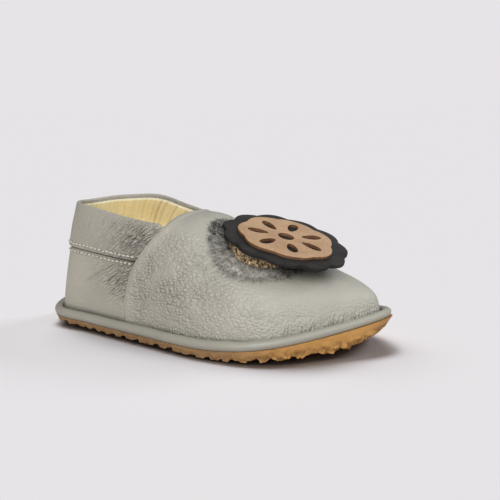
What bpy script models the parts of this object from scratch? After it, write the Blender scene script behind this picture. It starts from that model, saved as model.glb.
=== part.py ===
"""Toddler's barefoot slip-on shoe, right foot, built piece by piece on one set of sole and last sizes."""

import math

import bpy
import numpy as np
from mathutils import Matrix, Vector
from mathutils.bvhtree import BVHTree

# Lengths are in millimetres and the meshes are scaled to metres; toe is +X, the outer side of the foot -Y
MM = 0.001
LATERAL, MEDIAL = -1, 1

# Driving sizes of the sole
SOLE_LENGTH = 150.0
BALL_WIDTH = 68.0
SOLE_THICKNESS = 4.0
TOE_SPRING = 8.9
SPRING_START = 13.0
TREAD_SPRING = 3.6
TOE_ROLL = 5.0
TOE_ROLL_START = 63.0
HEEL_LIFT = 1.6
HEEL_LIFT_START = 48.0
GAP = 0.3

# Tread bars under the outsole
LUG_DEPTH = 1.9
BAR_PITCH = 6.2
BAR_LAND = 3.6
BAR_RAMP = 0.6
BAR_COUNT = 21
BAR_FIRST = -66.0
ZIGZAG = 2.0
ZIGZAG_POINTS = 7
ZIGZAG_FADE = 18.6
TREAD_INSET = 1.0
TOE_LIP = 1.0
END_ROWS = (0.01, 0.05, 0.14, 0.3, 0.55)

# Upper and the pieces round it
WALL = 2.2
PANEL_RECESS = 1.0
PANEL_STEP_ROWS = 2
BAND_THICKNESS = 1.1
FEATHER_INSET = 4.1
SEAM_SHARE = 0.66
SEAM_WIDTH = 0.004
SEAM_LEAN = 2.8
RIM_DRAW = 1.5
FADE_START = 0.36
WALL_ROWS = 8
TOP_ROWS = 5
BAND_ROW = 5
VAMP_COLUMNS = 18
BACK_COLUMNS = 14
SHOULDER_ANGLE = math.radians(56)
SPINE_TOE_Y = 8.5
SPINE_THROAT_Y = 1.5
INSOLE_THICKNESS = 2.0
INSOLE_CUP = 0.8
INSOLE_END = 8.0
INSOLE_ROWS = 22
INSOLE_POINTS = 7

# Touch-close badge on the vamp
BADGE_CENTRE = Vector((35.4, 1.6, 40.6))
BADGE_NORMAL = Vector((0.286, -0.095, 0.953)).normalized()
BADGE_LENGTH = 51.0
BADGE_WIDTH = 49.0
BADGE_BASE = 1.5
BADGE_FACE = 1.2
SCALLOPS = 11
SCALLOP_DEPTH = 0.07
FACE_SHARE = 0.76
PETALS = 7
PETAL_INNER = 0.36
PETAL_OUTER = 0.80
PETAL_ROOT_WIDTH = 0.046
PETAL_SPREAD = 0.104
PETAL_POINTS = 14
EYE_RADIUS = 0.17
EYE_POINTS = 20
POINTS_PER_LOBE = 8
LOOP_RADIUS = 21.5
LOOP_THICKNESS = 0.55
LOOP_SEAT = 0.4
LOOP_CENTRE = (-9.0, -4.0)
HOOK_RADIUS = 15.0
HOOK_CENTRE = (-3.5, -5.0)
PATCH_RINGS = 5
PATCH_SPOKES = 32

# Sole edge from the toe tip back, as shares of half the length and half the ball width
LATERAL_EDGE = (
    (1.00, 0.34),
    (0.83, -0.30),
    (0.56, -0.88),
    (0.24, -1.00),
    (-0.20, -0.85),
    (-0.64, -0.66),
    (-0.89, -0.54),
    (-1.00, 0.08),
)
MEDIAL_EDGE = (
    (0.92, 0.67),
    (0.74, 0.93),
    (0.32, 1.00),
    (-0.20, 0.82),
    (-0.64, 0.80),
    (-0.88, 0.58),
)

# Sections of the vamp: share of the way from toe tip to heel tip along the sole edge, top of the section
# on the spine, squareness of the arch and how far the side swells out
VAMP = np.array(
    [
        (0.00, 57.0, 27.2, 2.6, 0.6),
        (0.10, 53.0, 29.0, 2.4, 0.8),
        (0.20, 46.0, 32.0, 2.2, 1.2),
        (0.32, 33.0, 36.9, 2.15, 1.8),
        (0.44, 17.0, 43.5, 2.3, 2.2),
        (0.55, 3.0, 49.2, 2.9, 2.0),
        (0.66, -7.5, 50.6, 3.2, 1.6),
    ],
    dtype=[(name, float) for name in ("share", "spine_x", "spine_z", "square", "swell")],
)

# Sections of the back: share of the sole edge at the foot and at the rim, rim inset from the sole edge,
# rim height, how much higher the rim is on the medial side, and how far the wall swells out
BACK = np.array(
    [
        (0.66, 0.560, 9.5, 47.3, 0.8, 1.4),
        (0.72, 0.630, 8.0, 48.2, 3.0, 1.3),
        (0.78, 0.702, 7.2, 50.0, 4.0, 1.2),
        (0.84, 0.790, 8.0, 52.3, 1.4, 1.1),
        (0.91, 0.890, 11.4, 52.9, 0.0, 0.6),
        (1.00, 1.000, 13.2, 52.6, 0.0, 0.2),
    ],
    dtype=[(name, float) for name in ("share", "rim_share", "rim_inset", "rim_z", "medial_rise", "swell")],
)

# Welt section from the outer bottom corner round: inset from the sole edge and height above the outsole
WELT = np.array(
    [
        (0.3, 0.0),
        (-0.3, 0.7),
        (-0.5, 1.6),
        (-0.2, 2.5),
        (0.7, 3.2),
        (1.8, 3.4),
        (2.8, 3.1),
        (3.4, 2.3),
        (3.6, 0.0),
    ],
    dtype=[(name, float) for name in ("inset", "height")],
)
WELT_COLUMNS = 84
DENSE = 960


def smooth(at, knots, values):
    """Cubic curve through the values of a table, read at the given places."""
    values = np.asarray(values, float)
    slopes = np.gradient(values, knots, axis=0)
    i = np.clip(np.searchsorted(knots, at, side="right") - 1, 0, len(knots) - 2)
    step = knots[i + 1] - knots[i]
    t = (at - knots[i]) / step
    if values.ndim > 1:
        t = t[..., None]
        step = step[..., None]
    ahead = t * t * (3 - 2 * t)
    return (
        values[i] * (1 - ahead)
        + values[i + 1] * ahead
        + slopes[i] * step * t * (1 - t) ** 2
        - slopes[i + 1] * step * t * t * (1 - t)
    )


def column(table, name, share):
    return smooth(share, table["share"], table[name])


def sole_edges():
    """For each side, the dense sole edge from toe to heel: share of the way, place and inward normal."""
    shares = np.array(LATERAL_EDGE + MEDIAL_EDGE[::-1])
    points = shares * (SOLE_LENGTH / 2, BALL_WIDTH / 2)
    overlap = 3
    ring = np.vstack([points[-overlap:], points, points[:overlap]])
    knots = np.concatenate([[0], np.cumsum(np.sqrt(np.linalg.norm(np.diff(ring, axis=0), axis=1)))])
    places = np.linspace(knots[overlap], knots[overlap + len(points)], DENSE, endpoint=False)
    loop = smooth(places, knots, ring)
    loop = np.roll(loop, -loop[:, 0].argmax(), axis=0)
    along = np.roll(loop, -1, axis=0) - np.roll(loop, 1, axis=0)
    inward = np.column_stack([along[:, 1], -along[:, 0]]) / np.linalg.norm(along, axis=1)[:, None]
    heel = loop[:, 0].argmin()
    closing = np.arange(DENSE, heel - 1, -1) % DENSE
    edges = {}
    for side, order in ((LATERAL, np.arange(heel + 1)), (MEDIAL, closing)):
        run = np.concatenate([[0], np.cumsum(np.linalg.norm(np.diff(loop[order], axis=0), axis=1))])
        edges[side] = (run / run[-1], loop[order], inward[order])
    return edges


EDGES = sole_edges()


def edge(side, share, inset):
    """Place on the sole edge of one side, moved inwards by the inset."""
    shares, places, inward = EDGES[side]
    place = [np.interp(share, shares, places[:, k]) for k in (0, 1)]
    normal = [np.interp(share, shares, inward[:, k]) for k in (0, 1)]
    return np.stack([place[k] + inset * normal[k] for k in (0, 1)], axis=-1)


def edge_y(side, x, inset):
    """Where a line across the sole at x meets the edge of one side."""
    shares = EDGES[side][0]
    places = edge(side, shares, inset)
    order = np.argsort(places[:, 0])
    return np.interp(x, places[order, 0], places[order, 1])


def rising(x, start):
    """Square-law rise from 0 at the start to 1 at the end of the sole."""
    return np.clip((x - start) / (SOLE_LENGTH / 2 - start), 0, None) ** 2


def tread(x):
    """Height of the tread plane over the floor: flat from heel to ball, rolled up at the toe tip."""
    toe = TREAD_SPRING * rising(x, SPRING_START) + TOE_ROLL * rising(x, TOE_ROLL_START)
    return toe + HEEL_LIFT * rising(-x, HEEL_LIFT_START)


def sole_top(x):
    return SOLE_THICKNESS + TOE_SPRING * rising(x, SPRING_START) + HEEL_LIFT * rising(-x, HEEL_LIFT_START)


def spine_y(x):
    return np.interp(x, (VAMP["spine_x"][-1], VAMP["spine_x"][0]), (SPINE_THROAT_Y, SPINE_TOE_Y))


def feather(side, share):
    """Bottom line of the upper's outer face."""
    xy = edge(side, share, np.full(share.shape, FEATHER_INSET))
    return np.column_stack([xy, sole_top(xy[:, 0]) + GAP])


def back_wall(side, share):
    """Outer face of the back, a row of heights for each share."""
    foot = feather(side, share)
    height = np.linspace(0, 1, WALL_ROWS + 1)[None, :]
    rim = {name: column(BACK, name, share)[:, None] for name in BACK.dtype.names[1:]}
    along = share[:, None] + (rim["rim_share"] - share[:, None]) * height**SEAM_LEAN
    drawn = FEATHER_INSET + (rim["rim_inset"] - FEATHER_INSET) * height**RIM_DRAW
    xy = edge(side, along, drawn - rim["swell"] * np.sin(np.pi * height))
    rim_z = rim["rim_z"] + (rim["medial_rise"] if side == MEDIAL else 0)
    z = foot[:, 2:] + (rim_z - foot[:, 2:]) * height
    return np.concatenate([xy, z[..., None]], axis=-1)


def arch(side, share):
    """Vamp arches from the feather line to the spine, before they are drawn to the side seam."""
    foot = feather(side, share)[:, None, :]
    x = column(VAMP, "spine_x", share)
    top = np.column_stack([x, spine_y(x), column(VAMP, "spine_z", share)])[:, None, :]
    wall = np.linspace(0, SHOULDER_ANGLE, WALL_ROWS + 1)
    over = np.linspace(SHOULDER_ANGLE, math.pi / 2, TOP_ROWS + 1)[1:]
    angle = np.concatenate([wall, over])[None, :]
    power = 2 / column(VAMP, "square", share)[:, None]
    reach = np.clip(np.cos(angle), 0, 1) ** power
    rise = np.sin(angle) ** power
    flat = (foot - top)[..., :2]
    out = flat / np.linalg.norm(flat, axis=-1, keepdims=True)
    swell = column(VAMP, "swell", share)[:, None] * np.sin(2 * angle)
    xy = top[..., :2] + flat * reach[..., None] + out * swell[..., None]
    fall = smooth(share, VAMP["share"], np.gradient(VAMP["spine_z"], VAMP["spine_x"]))
    run_on = fall[:, None] * np.clip(flat[..., 0], 0, None) * reach * (1 - reach)
    z = foot[..., 2] + (top - foot)[..., 2] * rise + run_on
    return np.concatenate([xy, z[..., None]], axis=-1)


def vamp(side, share):
    """Outer face of the vamp: arches that lean until the last runs up the side seam and over the throat."""
    seam = np.array([SEAM_SHARE])
    wall, last = back_wall(side, seam)[0], arch(side, seam)[0]
    left = 1 - np.arange(1, TOP_ROWS + 1) / TOP_ROWS
    shift = np.zeros(last.shape)
    shift[: WALL_ROWS + 1] = wall - last[: WALL_ROWS + 1]
    shift[WALL_ROWS + 1 :] = shift[WALL_ROWS] * (left**2)[:, None]
    throat_x = last[-1, 0] + (wall[-1, 0] - last[-1, 0]) * left
    shift[WALL_ROWS + 1 :, 0] = throat_x - last[WALL_ROWS + 1 :, 0]
    t = np.clip((share - FADE_START) / (SEAM_SHARE - FADE_START), 0, 1)
    drawn = t * t * (3 - 2 * t)
    return arch(side, share) + drawn[:, None, None] * shift


def strip_faces(left, right):
    """Quads between two neighbouring columns of point numbers, as far up as both go."""
    return [(left[k], right[k], right[k + 1], left[k + 1]) for k in range(min(len(left), len(right)) - 1)]


def point_normals(points, faces):
    normals = np.zeros_like(points)
    for face in faces:
        a, b, c, d = (points[i] for i in face)
        for i in face:
            normals[i] += np.cross(c - a, d - b)
    return normals / np.linalg.norm(normals, axis=1)[:, None]


def upper_surface():
    """Outer face of the whole upper: points, normals, faces, each column's point numbers."""
    vamp_shares = np.linspace(0, SEAM_SHARE, VAMP_COLUMNS + 1)
    back_shares = np.linspace(SEAM_SHARE + SEAM_WIDTH, 1, BACK_COLUMNS + 1)
    points, columns = [], {LATERAL: [], MEDIAL: []}
    for side in (LATERAL, MEDIAL):
        for k, places in enumerate([*vamp(side, vamp_shares), *back_wall(side, back_shares)]):
            in_vamp = k <= VAMP_COLUMNS
            shared = side == MEDIAL and k in (0, VAMP_COLUMNS + 1 + BACK_COLUMNS)
            if shared:
                columns[side].append(columns[LATERAL][k])
                continue
            own = places[:-1] if side == MEDIAL and in_vamp else places
            numbers = list(range(len(points), len(points) + len(own)))
            points.extend(own)
            if len(own) < len(places):
                numbers.append(columns[LATERAL][k][-1])
            columns[side].append(numbers)
    points = np.array(points)
    faces = []
    for side, run in columns.items():
        for first, second in zip(run, run[1:]):
            faces += strip_faces(second, first) if side == LATERAL else strip_faces(first, second)
    normals = point_normals(points, faces)
    feet = sorted({run[0] for run in columns[LATERAL] + columns[MEDIAL]})
    normals[feet, 2] = 0
    normals /= np.linalg.norm(normals, axis=1)[:, None]
    return points, normals, faces, columns


def material(name, colour, roughness):
    made = bpy.data.materials.new(name)
    made.use_nodes = True
    shader = made.node_tree.nodes["Principled BSDF"]
    shader.inputs["Base Color"].default_value = (*colour, 1)
    shader.inputs["Roughness"].default_value = roughness
    shader.inputs["Metallic"].default_value = 0
    return made


def add_mesh(name, points, faces, look):
    mesh = bpy.data.meshes.new(name)
    mesh.from_pydata([tuple(float(c) * MM for c in point) for point in points], [], faces)
    mesh.materials.append(look)
    part = bpy.data.objects.new(name, mesh)
    SHOE.objects.link(part)
    return part


def add_shell(name, outer, inner, faces, look):
    """Closed solid between two matched surfaces that share one list of faces."""
    count = len(outer)
    steps = {(face[k - 1], face[k]) for face in faces for k in range(len(face))}
    rim = [(b, a, a + count, b + count) for a, b in sorted(steps) if (b, a) not in steps]
    back = [tuple(i + count for i in reversed(face)) for face in faces]
    return add_mesh(name, np.vstack([outer, inner]), faces + back + rim, look)


def grid_faces(rows, across):
    return [
        (r * across + k, (r + 1) * across + k, (r + 1) * across + k + 1, r * across + k + 1)
        for r in range(rows - 1)
        for k in range(across - 1)
    ]


def cross_rows(xs, across, inset, bend=0.0):
    """Rows of points across the sole from edge to edge; bend moves inner points to and fro in x."""
    share = np.linspace(0, 1, across)[None, :]
    near, far = (edge_y(side, xs, inset)[:, None] for side in (LATERAL, MEDIAL))
    room = np.clip((SOLE_LENGTH / 2 - np.abs(xs)) / ZIGZAG_FADE, 0, 1)[:, None]
    turn = np.array([0 if k in (0, across - 1) else (-1) ** k for k in range(across)])[None, :]
    x = xs[:, None] + bend * room * turn
    return np.stack([x, near + (far - near) * share], axis=-1).reshape(-1, 2)


def end_places(tip, inner):
    """Row places that close up towards a rounded end."""
    return tip + (inner - tip) * np.array(END_ROWS)


def make_outsole(look):
    bars = [BAR_FIRST + k * BAR_PITCH for k in range(BAR_COUNT)]
    row = (0, BAR_RAMP, BAR_RAMP + BAR_LAND, 2 * BAR_RAMP + BAR_LAND)
    middle = np.array([start + step for start in bars for step in row])
    groove = np.array([LUG_DEPTH, 0, 0, LUG_DEPTH] * BAR_COUNT)
    root = BAR_PITCH - row[-1]
    heel = end_places(-SOLE_LENGTH / 2 + TREAD_INSET, middle[0] - root)
    toe = end_places(SOLE_LENGTH / 2 - TREAD_INSET, middle[-1] + root)[::-1]
    xs = np.concatenate([heel, [middle[0] - root], middle, [middle[-1] + root], toe])
    lift = np.concatenate([np.zeros(len(heel) + 1), groove, np.zeros(len(toe) + 1)])
    flat = cross_rows(xs, ZIGZAG_POINTS, TREAD_INSET, ZIGZAG)
    bottom = np.column_stack([flat, tread(flat[:, 0]) + np.repeat(lift, ZIGZAG_POINTS)])
    spread = rising(xs, SPRING_START)
    wide = np.where(xs > 0, xs * (SOLE_LENGTH / 2 + TOE_LIP) / (SOLE_LENGTH / 2 - TREAD_INSET), xs)
    wide = np.where(xs < 0, xs * (SOLE_LENGTH / 2) / (SOLE_LENGTH / 2 - TREAD_INSET), wide)
    share = np.linspace(0, 1, ZIGZAG_POINTS)[None, :]
    near = np.array([edge_y(LATERAL, x, -TOE_LIP * s) for x, s in zip(wide, spread)])[:, None]
    far = np.array([edge_y(MEDIAL, x, -TOE_LIP * s) for x, s in zip(wide, spread)])[:, None]
    y = (near + (far - near) * share).reshape(-1)
    x = flat[:, 0] + np.repeat(wide - xs, ZIGZAG_POINTS)
    top = np.column_stack([x, y, sole_top(x)])
    return add_shell("outsole", top, bottom, grid_faces(len(xs), ZIGZAG_POINTS), look)


def make_welt(look):
    half = np.linspace(0, 1, WELT_COLUMNS // 2 + 1)
    loops = []
    for inset, height in WELT:
        lateral = edge(LATERAL, half, np.full(half.shape, inset))
        medial = edge(MEDIAL, half[-2:0:-1], np.full(len(half) - 2, inset))
        xy = np.vstack([lateral, medial])
        loops.append(np.column_stack([xy, sole_top(xy[:, 0]) + GAP + height]))
    points = np.stack(loops, axis=1).reshape(-1, 3)
    count, rows = len(loops[0]), len(loops)
    faces = []
    for c in range(count):
        here, there = c * rows, (c + 1) % count * rows
        for r in range(rows):
            up = (r + 1) % rows
            faces.append((here + up, there + up, there + r, here + r))
    return add_mesh("welt", points, faces, look)


def make_insole(look):
    inset = FEATHER_INSET + WALL + 2 * GAP
    half = SOLE_LENGTH / 2 - inset
    middle = np.linspace(-half + INSOLE_END, half - INSOLE_END, INSOLE_ROWS)
    heel = end_places(-half, middle[0])
    toe = end_places(half, middle[-1])[::-1]
    xs = np.concatenate([heel, middle, toe])
    flat = cross_rows(xs, INSOLE_POINTS, inset)
    cup = INSOLE_CUP * np.tile(np.linspace(-1, 1, INSOLE_POINTS) ** 2, len(xs))
    bottom = np.column_stack([flat, sole_top(flat[:, 0]) + GAP])
    top = bottom + np.column_stack([np.zeros((len(flat), 2)), INSOLE_THICKNESS + cup])
    return add_shell("insole", top, bottom, grid_faces(len(xs), INSOLE_POINTS), look)


def make_upper(surface, look):
    """One hollow wall; its back panel steps in behind the vamp, less and less towards the feather line."""
    points, normals, faces, columns = surface
    recess = np.zeros((len(points), 1))
    for run in columns.values():
        for numbers in run[VAMP_COLUMNS + 1 :]:
            recess[numbers, 0] = PANEL_RECESS * np.clip(np.arange(len(numbers)) / PANEL_STEP_ROWS, 0, 1)
    return add_shell("upper", points - normals * recess, points - normals * WALL, faces, look)


def make_collar_band(surface, look):
    points, normals, _, columns = surface
    lateral = [run[BAND_ROW:] for run in columns[LATERAL][VAMP_COLUMNS + 1 :]]
    medial = [run[BAND_ROW:] for run in columns[MEDIAL][VAMP_COLUMNS + 1 :]]
    runs = lateral + medial[-2::-1]
    order = [i for run in runs for i in run]
    inner = points[order] - normals[order] * (PANEL_RECESS - GAP)
    outer = inner + normals[order] * BAND_THICKNESS
    inset = np.array([GAP if k in (0, len(runs) - 1) else 0 for k in range(len(runs))])
    rows = len(runs[0])
    for k, neighbour in ((0, 1), (len(runs) - 1, len(runs) - 2)):
        here, there = slice(k * rows, (k + 1) * rows), slice(neighbour * rows, (neighbour + 1) * rows)
        for face in (inner, outer):
            way = face[there] - face[here]
            face[here] += way / np.linalg.norm(way, axis=1)[:, None] * inset[k]
    faces = [face[::-1] for face in grid_faces(len(runs), rows)]
    return add_shell("collar_band", outer, inner, faces, look)


def badge_frame():
    """Axes of the badge plane: along the foot, across it, and out."""
    along = Vector((1, 0, 0))
    along = (along - along.dot(BADGE_NORMAL) * BADGE_NORMAL).normalized()
    return along, BADGE_NORMAL.cross(along), BADGE_NORMAL


def disc_grid(centre, radius, rings, spokes):
    """Flat points of a disc in rings round a middle point, and its faces."""
    flat = [centre]
    faces = []
    for ring in range(1, rings + 1):
        for spoke in range(spokes):
            turn = 2 * math.pi * spoke / spokes
            reach = radius * ring / rings
            flat.append((centre[0] + reach * math.cos(turn), centre[1] + reach * math.sin(turn)))
    for spoke in range(spokes):
        after = (spoke + 1) % spokes
        faces.append((0, 1 + spoke, 1 + after))
        for ring in range(rings - 1):
            low, high = 1 + ring * spokes, 1 + (ring + 1) * spokes
            faces.append((low + spoke, high + spoke, high + after, low + after))
    return flat, faces


def make_patches(surface, loop_look, hook_look):
    """Loop patch lying on the vamp and hook patch between it and the flat back of the badge."""
    points, _, faces, _ = surface
    tree = BVHTree.FromPolygons([Vector(point) for point in points], faces)
    along, across, out = badge_frame()

    def over_vamp(spot, lift):
        start = BADGE_CENTRE + along * spot[0] + across * spot[1]
        hit, normal, _, _ = tree.ray_cast(start + out * SOLE_LENGTH, -out)
        return hit + out * (lift / normal.dot(out))

    flat, disc = disc_grid(LOOP_CENTRE, LOOP_RADIUS, PATCH_RINGS, PATCH_SPOKES)
    low = np.array([over_vamp(spot, LOOP_SEAT) for spot in flat])
    high = np.array([over_vamp(spot, LOOP_SEAT + LOOP_THICKNESS) for spot in flat])
    add_shell("loop_patch", high, low, disc, loop_look)
    flat, disc = disc_grid(HOOK_CENTRE, HOOK_RADIUS, PATCH_RINGS, PATCH_SPOKES)
    low = np.array([over_vamp(spot, LOOP_SEAT + LOOP_THICKNESS + GAP) for spot in flat])
    high = np.array([BADGE_CENTRE + along * a + across * b - out * GAP for a, b in flat])
    add_shell("hook_patch", high, low, disc, hook_look)


def add_plate(name, outlines, lift, thickness, look):
    """Flat plate in the badge plane with its outer outline first and the holes after it."""
    curve = bpy.data.curves.new(name, "CURVE")
    curve.dimensions = "2D"
    curve.fill_mode = "BOTH"
    curve.extrude = thickness / 2 * MM
    for outline in outlines:
        spline = curve.splines.new("POLY")
        spline.points.add(len(outline) - 1)
        for point, (a, b) in zip(spline.points, outline):
            point.co = (a * MM, b * MM, 0, 1)
        spline.use_cyclic_u = True
    curve.materials.append(look)
    part = bpy.data.objects.new(name, curve)
    along, across, out = badge_frame()
    place = (BADGE_CENTRE + out * (lift + thickness / 2)) * MM
    part.matrix_world = Matrix.Translation(place) @ Matrix((along, across, out)).transposed().to_4x4()
    SHOE.objects.link(part)
    return part


def on_badge(reach, turns):
    """Points of the badge plane at the given shares of its half sizes."""
    along = reach * np.cos(turns) * BADGE_LENGTH / 2
    across = reach * np.sin(turns) * BADGE_WIDTH / 2
    return np.column_stack([along, across])


def scallop_outline(share, lobes):
    turns = np.linspace(0, 2 * math.pi, POINTS_PER_LOBE * lobes, endpoint=False)
    reach = share * (1 - SCALLOP_DEPTH * (1 - np.abs(np.cos(lobes * turns / 2))))
    return on_badge(reach, turns)


def petal_outline(turn):
    """Leaf-shaped hole pointing out from the middle of the badge face."""
    t = np.linspace(0, 2 * math.pi, PETAL_POINTS, endpoint=False)
    reach = (PETAL_INNER + PETAL_OUTER) / 2 - (PETAL_OUTER - PETAL_INNER) / 2 * np.cos(t)
    side = np.sin(t) * (PETAL_ROOT_WIDTH + PETAL_SPREAD * reach)
    a = reach * math.cos(turn) - side * math.sin(turn)
    b = reach * math.sin(turn) + side * math.cos(turn)
    return np.column_stack([a * BADGE_LENGTH, b * BADGE_WIDTH]) * FACE_SHARE / 2


def make_badge(base_look, face_look):
    rim = scallop_outline(1.0, SCALLOPS)
    add_plate("badge_base", [rim], 0.0, BADGE_BASE, base_look)
    turns = np.linspace(0, 2 * math.pi, EYE_POINTS, endpoint=False)
    eye = on_badge(EYE_RADIUS * FACE_SHARE, turns)
    petals = [petal_outline(2 * math.pi * k / PETALS) for k in range(PETALS)]
    face = scallop_outline(FACE_SHARE, PETALS)
    add_plate("badge_face", [face, eye, *petals], BADGE_BASE + GAP, BADGE_FACE, face_look)


for old in list(bpy.data.objects):
    bpy.data.objects.remove(old, do_unlink=True)
SHOE = bpy.data.collections.new("barefoot_shoe")
bpy.context.scene.collection.children.link(SHOE)

grey_leather = material("grey_leather", (0.42, 0.41, 0.37), 0.55)
band_leather = material("band_leather", (0.43, 0.42, 0.38), 0.55)
welt_leather = material("welt_leather", (0.40, 0.39, 0.36), 0.5)
gum_rubber = material("gum_rubber", (0.55, 0.33, 0.15), 0.7)
chamois = material("chamois", (0.62, 0.46, 0.24), 0.9)
loop_felt = material("loop_felt", (0.45, 0.44, 0.41), 0.95)
hook_tape = material("hook_tape", (0.42, 0.28, 0.10), 0.7)
black_leather = material("black_leather", (0.02, 0.02, 0.02), 0.5)
tan_leather = material("tan_leather", (0.50, 0.24, 0.08), 0.5)

make_outsole(gum_rubber)
make_welt(welt_leather)
make_insole(chamois)
upper = upper_surface()
make_upper(upper, grey_leather)
make_collar_band(upper, band_leather)
make_patches(upper, loop_felt, hook_tape)
make_badge(black_leather, tan_leather)
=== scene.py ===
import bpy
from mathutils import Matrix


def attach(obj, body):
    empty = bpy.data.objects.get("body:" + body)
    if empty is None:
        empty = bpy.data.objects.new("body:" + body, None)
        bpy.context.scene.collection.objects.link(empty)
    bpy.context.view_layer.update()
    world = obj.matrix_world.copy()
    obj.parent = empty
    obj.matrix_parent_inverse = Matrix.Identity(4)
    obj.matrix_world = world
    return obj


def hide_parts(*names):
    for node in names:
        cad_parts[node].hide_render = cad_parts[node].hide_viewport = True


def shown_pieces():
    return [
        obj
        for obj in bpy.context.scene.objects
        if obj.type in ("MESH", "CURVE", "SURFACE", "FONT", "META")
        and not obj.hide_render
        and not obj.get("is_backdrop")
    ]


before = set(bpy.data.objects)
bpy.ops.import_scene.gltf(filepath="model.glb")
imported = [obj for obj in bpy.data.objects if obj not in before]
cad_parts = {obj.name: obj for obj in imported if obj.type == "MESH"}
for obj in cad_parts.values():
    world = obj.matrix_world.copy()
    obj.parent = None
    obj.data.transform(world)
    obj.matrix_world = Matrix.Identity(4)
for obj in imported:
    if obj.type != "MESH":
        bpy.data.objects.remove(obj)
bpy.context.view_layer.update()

import math

import bpy
import numpy as np
from mathutils import Matrix, Vector, noise
from mathutils.bvhtree import BVHTree

# sizes are in millimetres, toe +X, outer side of the foot -Y; meshes are written in metres
mm = 0.001
lateral, medial = -1, 1
rng = np.random.default_rng(22)


# numbers

def soft(low, high, value):  # eased step from 0 to 1
    t = np.clip((value - low) / (high - low), 0, 1)
    return t * t * (3 - 2 * t)


def bell(value, width):  # 1 at zero, falling away on both sides
    return np.exp(-(value / width) ** 2)


def smooth(at, knots, values):  # cubic through a table
    knots, values = np.asarray(knots, float), np.asarray(values, float)
    slopes = np.gradient(values, knots, axis=0)
    i = np.clip(np.searchsorted(knots, at, side="right") - 1, 0, len(knots) - 2)
    step = knots[i + 1] - knots[i]
    t = (at - knots[i]) / step
    if values.ndim > 1:
        t, step = t[..., None], step[..., None]
    ahead = t * t * (3 - 2 * t)
    bend = slopes[i] * step * t * (1 - t) ** 2 - slopes[i + 1] * step * t * t * (1 - t)
    return values[i] * (1 - ahead) + values[i + 1] * ahead + bend


def named(names, rows):
    return dict(zip(names, np.array(rows, float).T))


def running(line):  # millimetres along a line of points
    return np.concatenate([[0], np.cumsum(np.linalg.norm(np.diff(line, axis=0), axis=1))])


def unit(way):
    return way / np.linalg.norm(way)


def speckle(points, size, seed=0.0):  # seeded noise from -1 to 1
    return np.array([noise.noise(Vector(p) / size + Vector((seed, seed, seed))) for p in points])


def waves(points, rows):  # speckle of several sizes; depth, size and seed of each
    return sum(depth * speckle(points, size, seed) for depth, size, seed in rows)


def ridged(points, size, seed):  # thin valleys between soft ridges, 0 to 1
    return 1 - np.abs(speckle(points, size, seed)) * 1.9


# meshes

def pick(piece):
    bpy.ops.object.select_all(action="DESELECT")
    piece.select_set(True)
    bpy.context.view_layer.objects.active = piece


def mark(piece, name, values):  # a number at each point, for the materials
    attribute = piece.data.attributes.get(name) or piece.data.attributes.new(name, "FLOAT", "POINT")
    attribute.data.foreach_set("value", np.asarray(values, np.float32).ravel())


def marked(piece, name):
    values = np.zeros(len(piece.data.vertices), np.float32)
    piece.data.attributes[name].data.foreach_get("value", values)
    return values.astype(float)


def vectorsOf(collection, key):
    values = np.zeros(len(collection) * 3, np.float32)
    collection.foreach_get(key, values)
    return values.reshape(-1, 3).astype(float)


def pointsOf(piece):
    return vectorsOf(piece.data.vertices, "co") / mm


def normalsOf(piece):
    return vectorsOf(piece.data.vertex_normals, "vector")


def putPoints(piece, points):
    piece.data.vertices.foreach_set("co", (points * mm).astype(np.float32).ravel())
    piece.data.update()


def pushOut(piece, amounts):  # move each point along its normal
    putPoints(piece, pointsOf(piece) + normalsOf(piece) * np.asarray(amounts)[:, None])


def gridSheet(name, grid, **marks):  # a grid primitive laid on columns of points, with its marks
    columns, points = grid.shape[:2]
    bpy.ops.object.select_all(action="DESELECT")
    bpy.ops.mesh.primitive_grid_add(x_subdivisions=columns - 1, y_subdivisions=points - 1, size=1)
    piece = bpy.context.active_object
    piece.name = piece.data.name = name
    putPoints(piece, grid.transpose(1, 0, 2))
    for key, values in marks.items():
        mark(piece, key, np.broadcast_to(values, grid.shape[:2]).T)
    return piece


def meshPiece(name, points, faces):  # joined mesh of many small copies
    mesh = bpy.data.meshes.new(name)
    mesh.from_pydata((points * mm).tolist(), [], faces)
    mesh.update()
    piece = bpy.data.objects.new(name, mesh)
    bpy.context.scene.collection.objects.link(piece)
    return piece


def edit(piece, *steps):  # each mesh tool runs on the whole mesh
    pick(piece)
    bpy.ops.object.mode_set(mode="EDIT")
    for tool, settings in steps:
        bpy.ops.mesh.select_all(action="SELECT")
        tool(**settings)
    bpy.ops.object.mode_set(mode="OBJECT")


faceOut = (bpy.ops.mesh.normals_make_consistent, {"inside": False})


def weld(piece, closed=False, distance=0.01):
    steps = [(bpy.ops.mesh.remove_doubles, {"threshold": distance * mm}),
             (bpy.ops.mesh.dissolve_degenerate, {"threshold": 0.2 * distance * mm})]
    edit(piece, *steps, *([faceOut] if closed else []))


def modify(piece, kind, **settings):
    pick(piece)
    made = piece.modifiers.new(kind.lower(), kind)
    for key, value in settings.items():
        setattr(made, key, value)
    bpy.ops.object.modifier_apply(modifier=made.name)


def thicken(piece, thickness):
    modify(piece, "SOLIDIFY", thickness=thickness * mm, offset=-1)


def bevel(piece, width, segments):
    modify(piece, "BEVEL", width=width * mm, segments=segments, limit_method="ANGLE",
           angle_limit=math.radians(50))


def finishPiece(piece, looks, slotName, *nodes, sharpFrom=None):  # angle past which an edge shades sharp
    if sharpFrom:
        pick(piece)
        bpy.ops.object.shade_smooth_by_angle(angle=math.radians(sharpFrom), keep_sharp_edges=False)
    piece.data.materials.clear()
    for look in looks:
        piece.data.materials.append(look)
    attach(piece, "root")
    if nodes:
        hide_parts(*nodes)
    return piece


# the last and the sole, the same sizes as the solids

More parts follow.
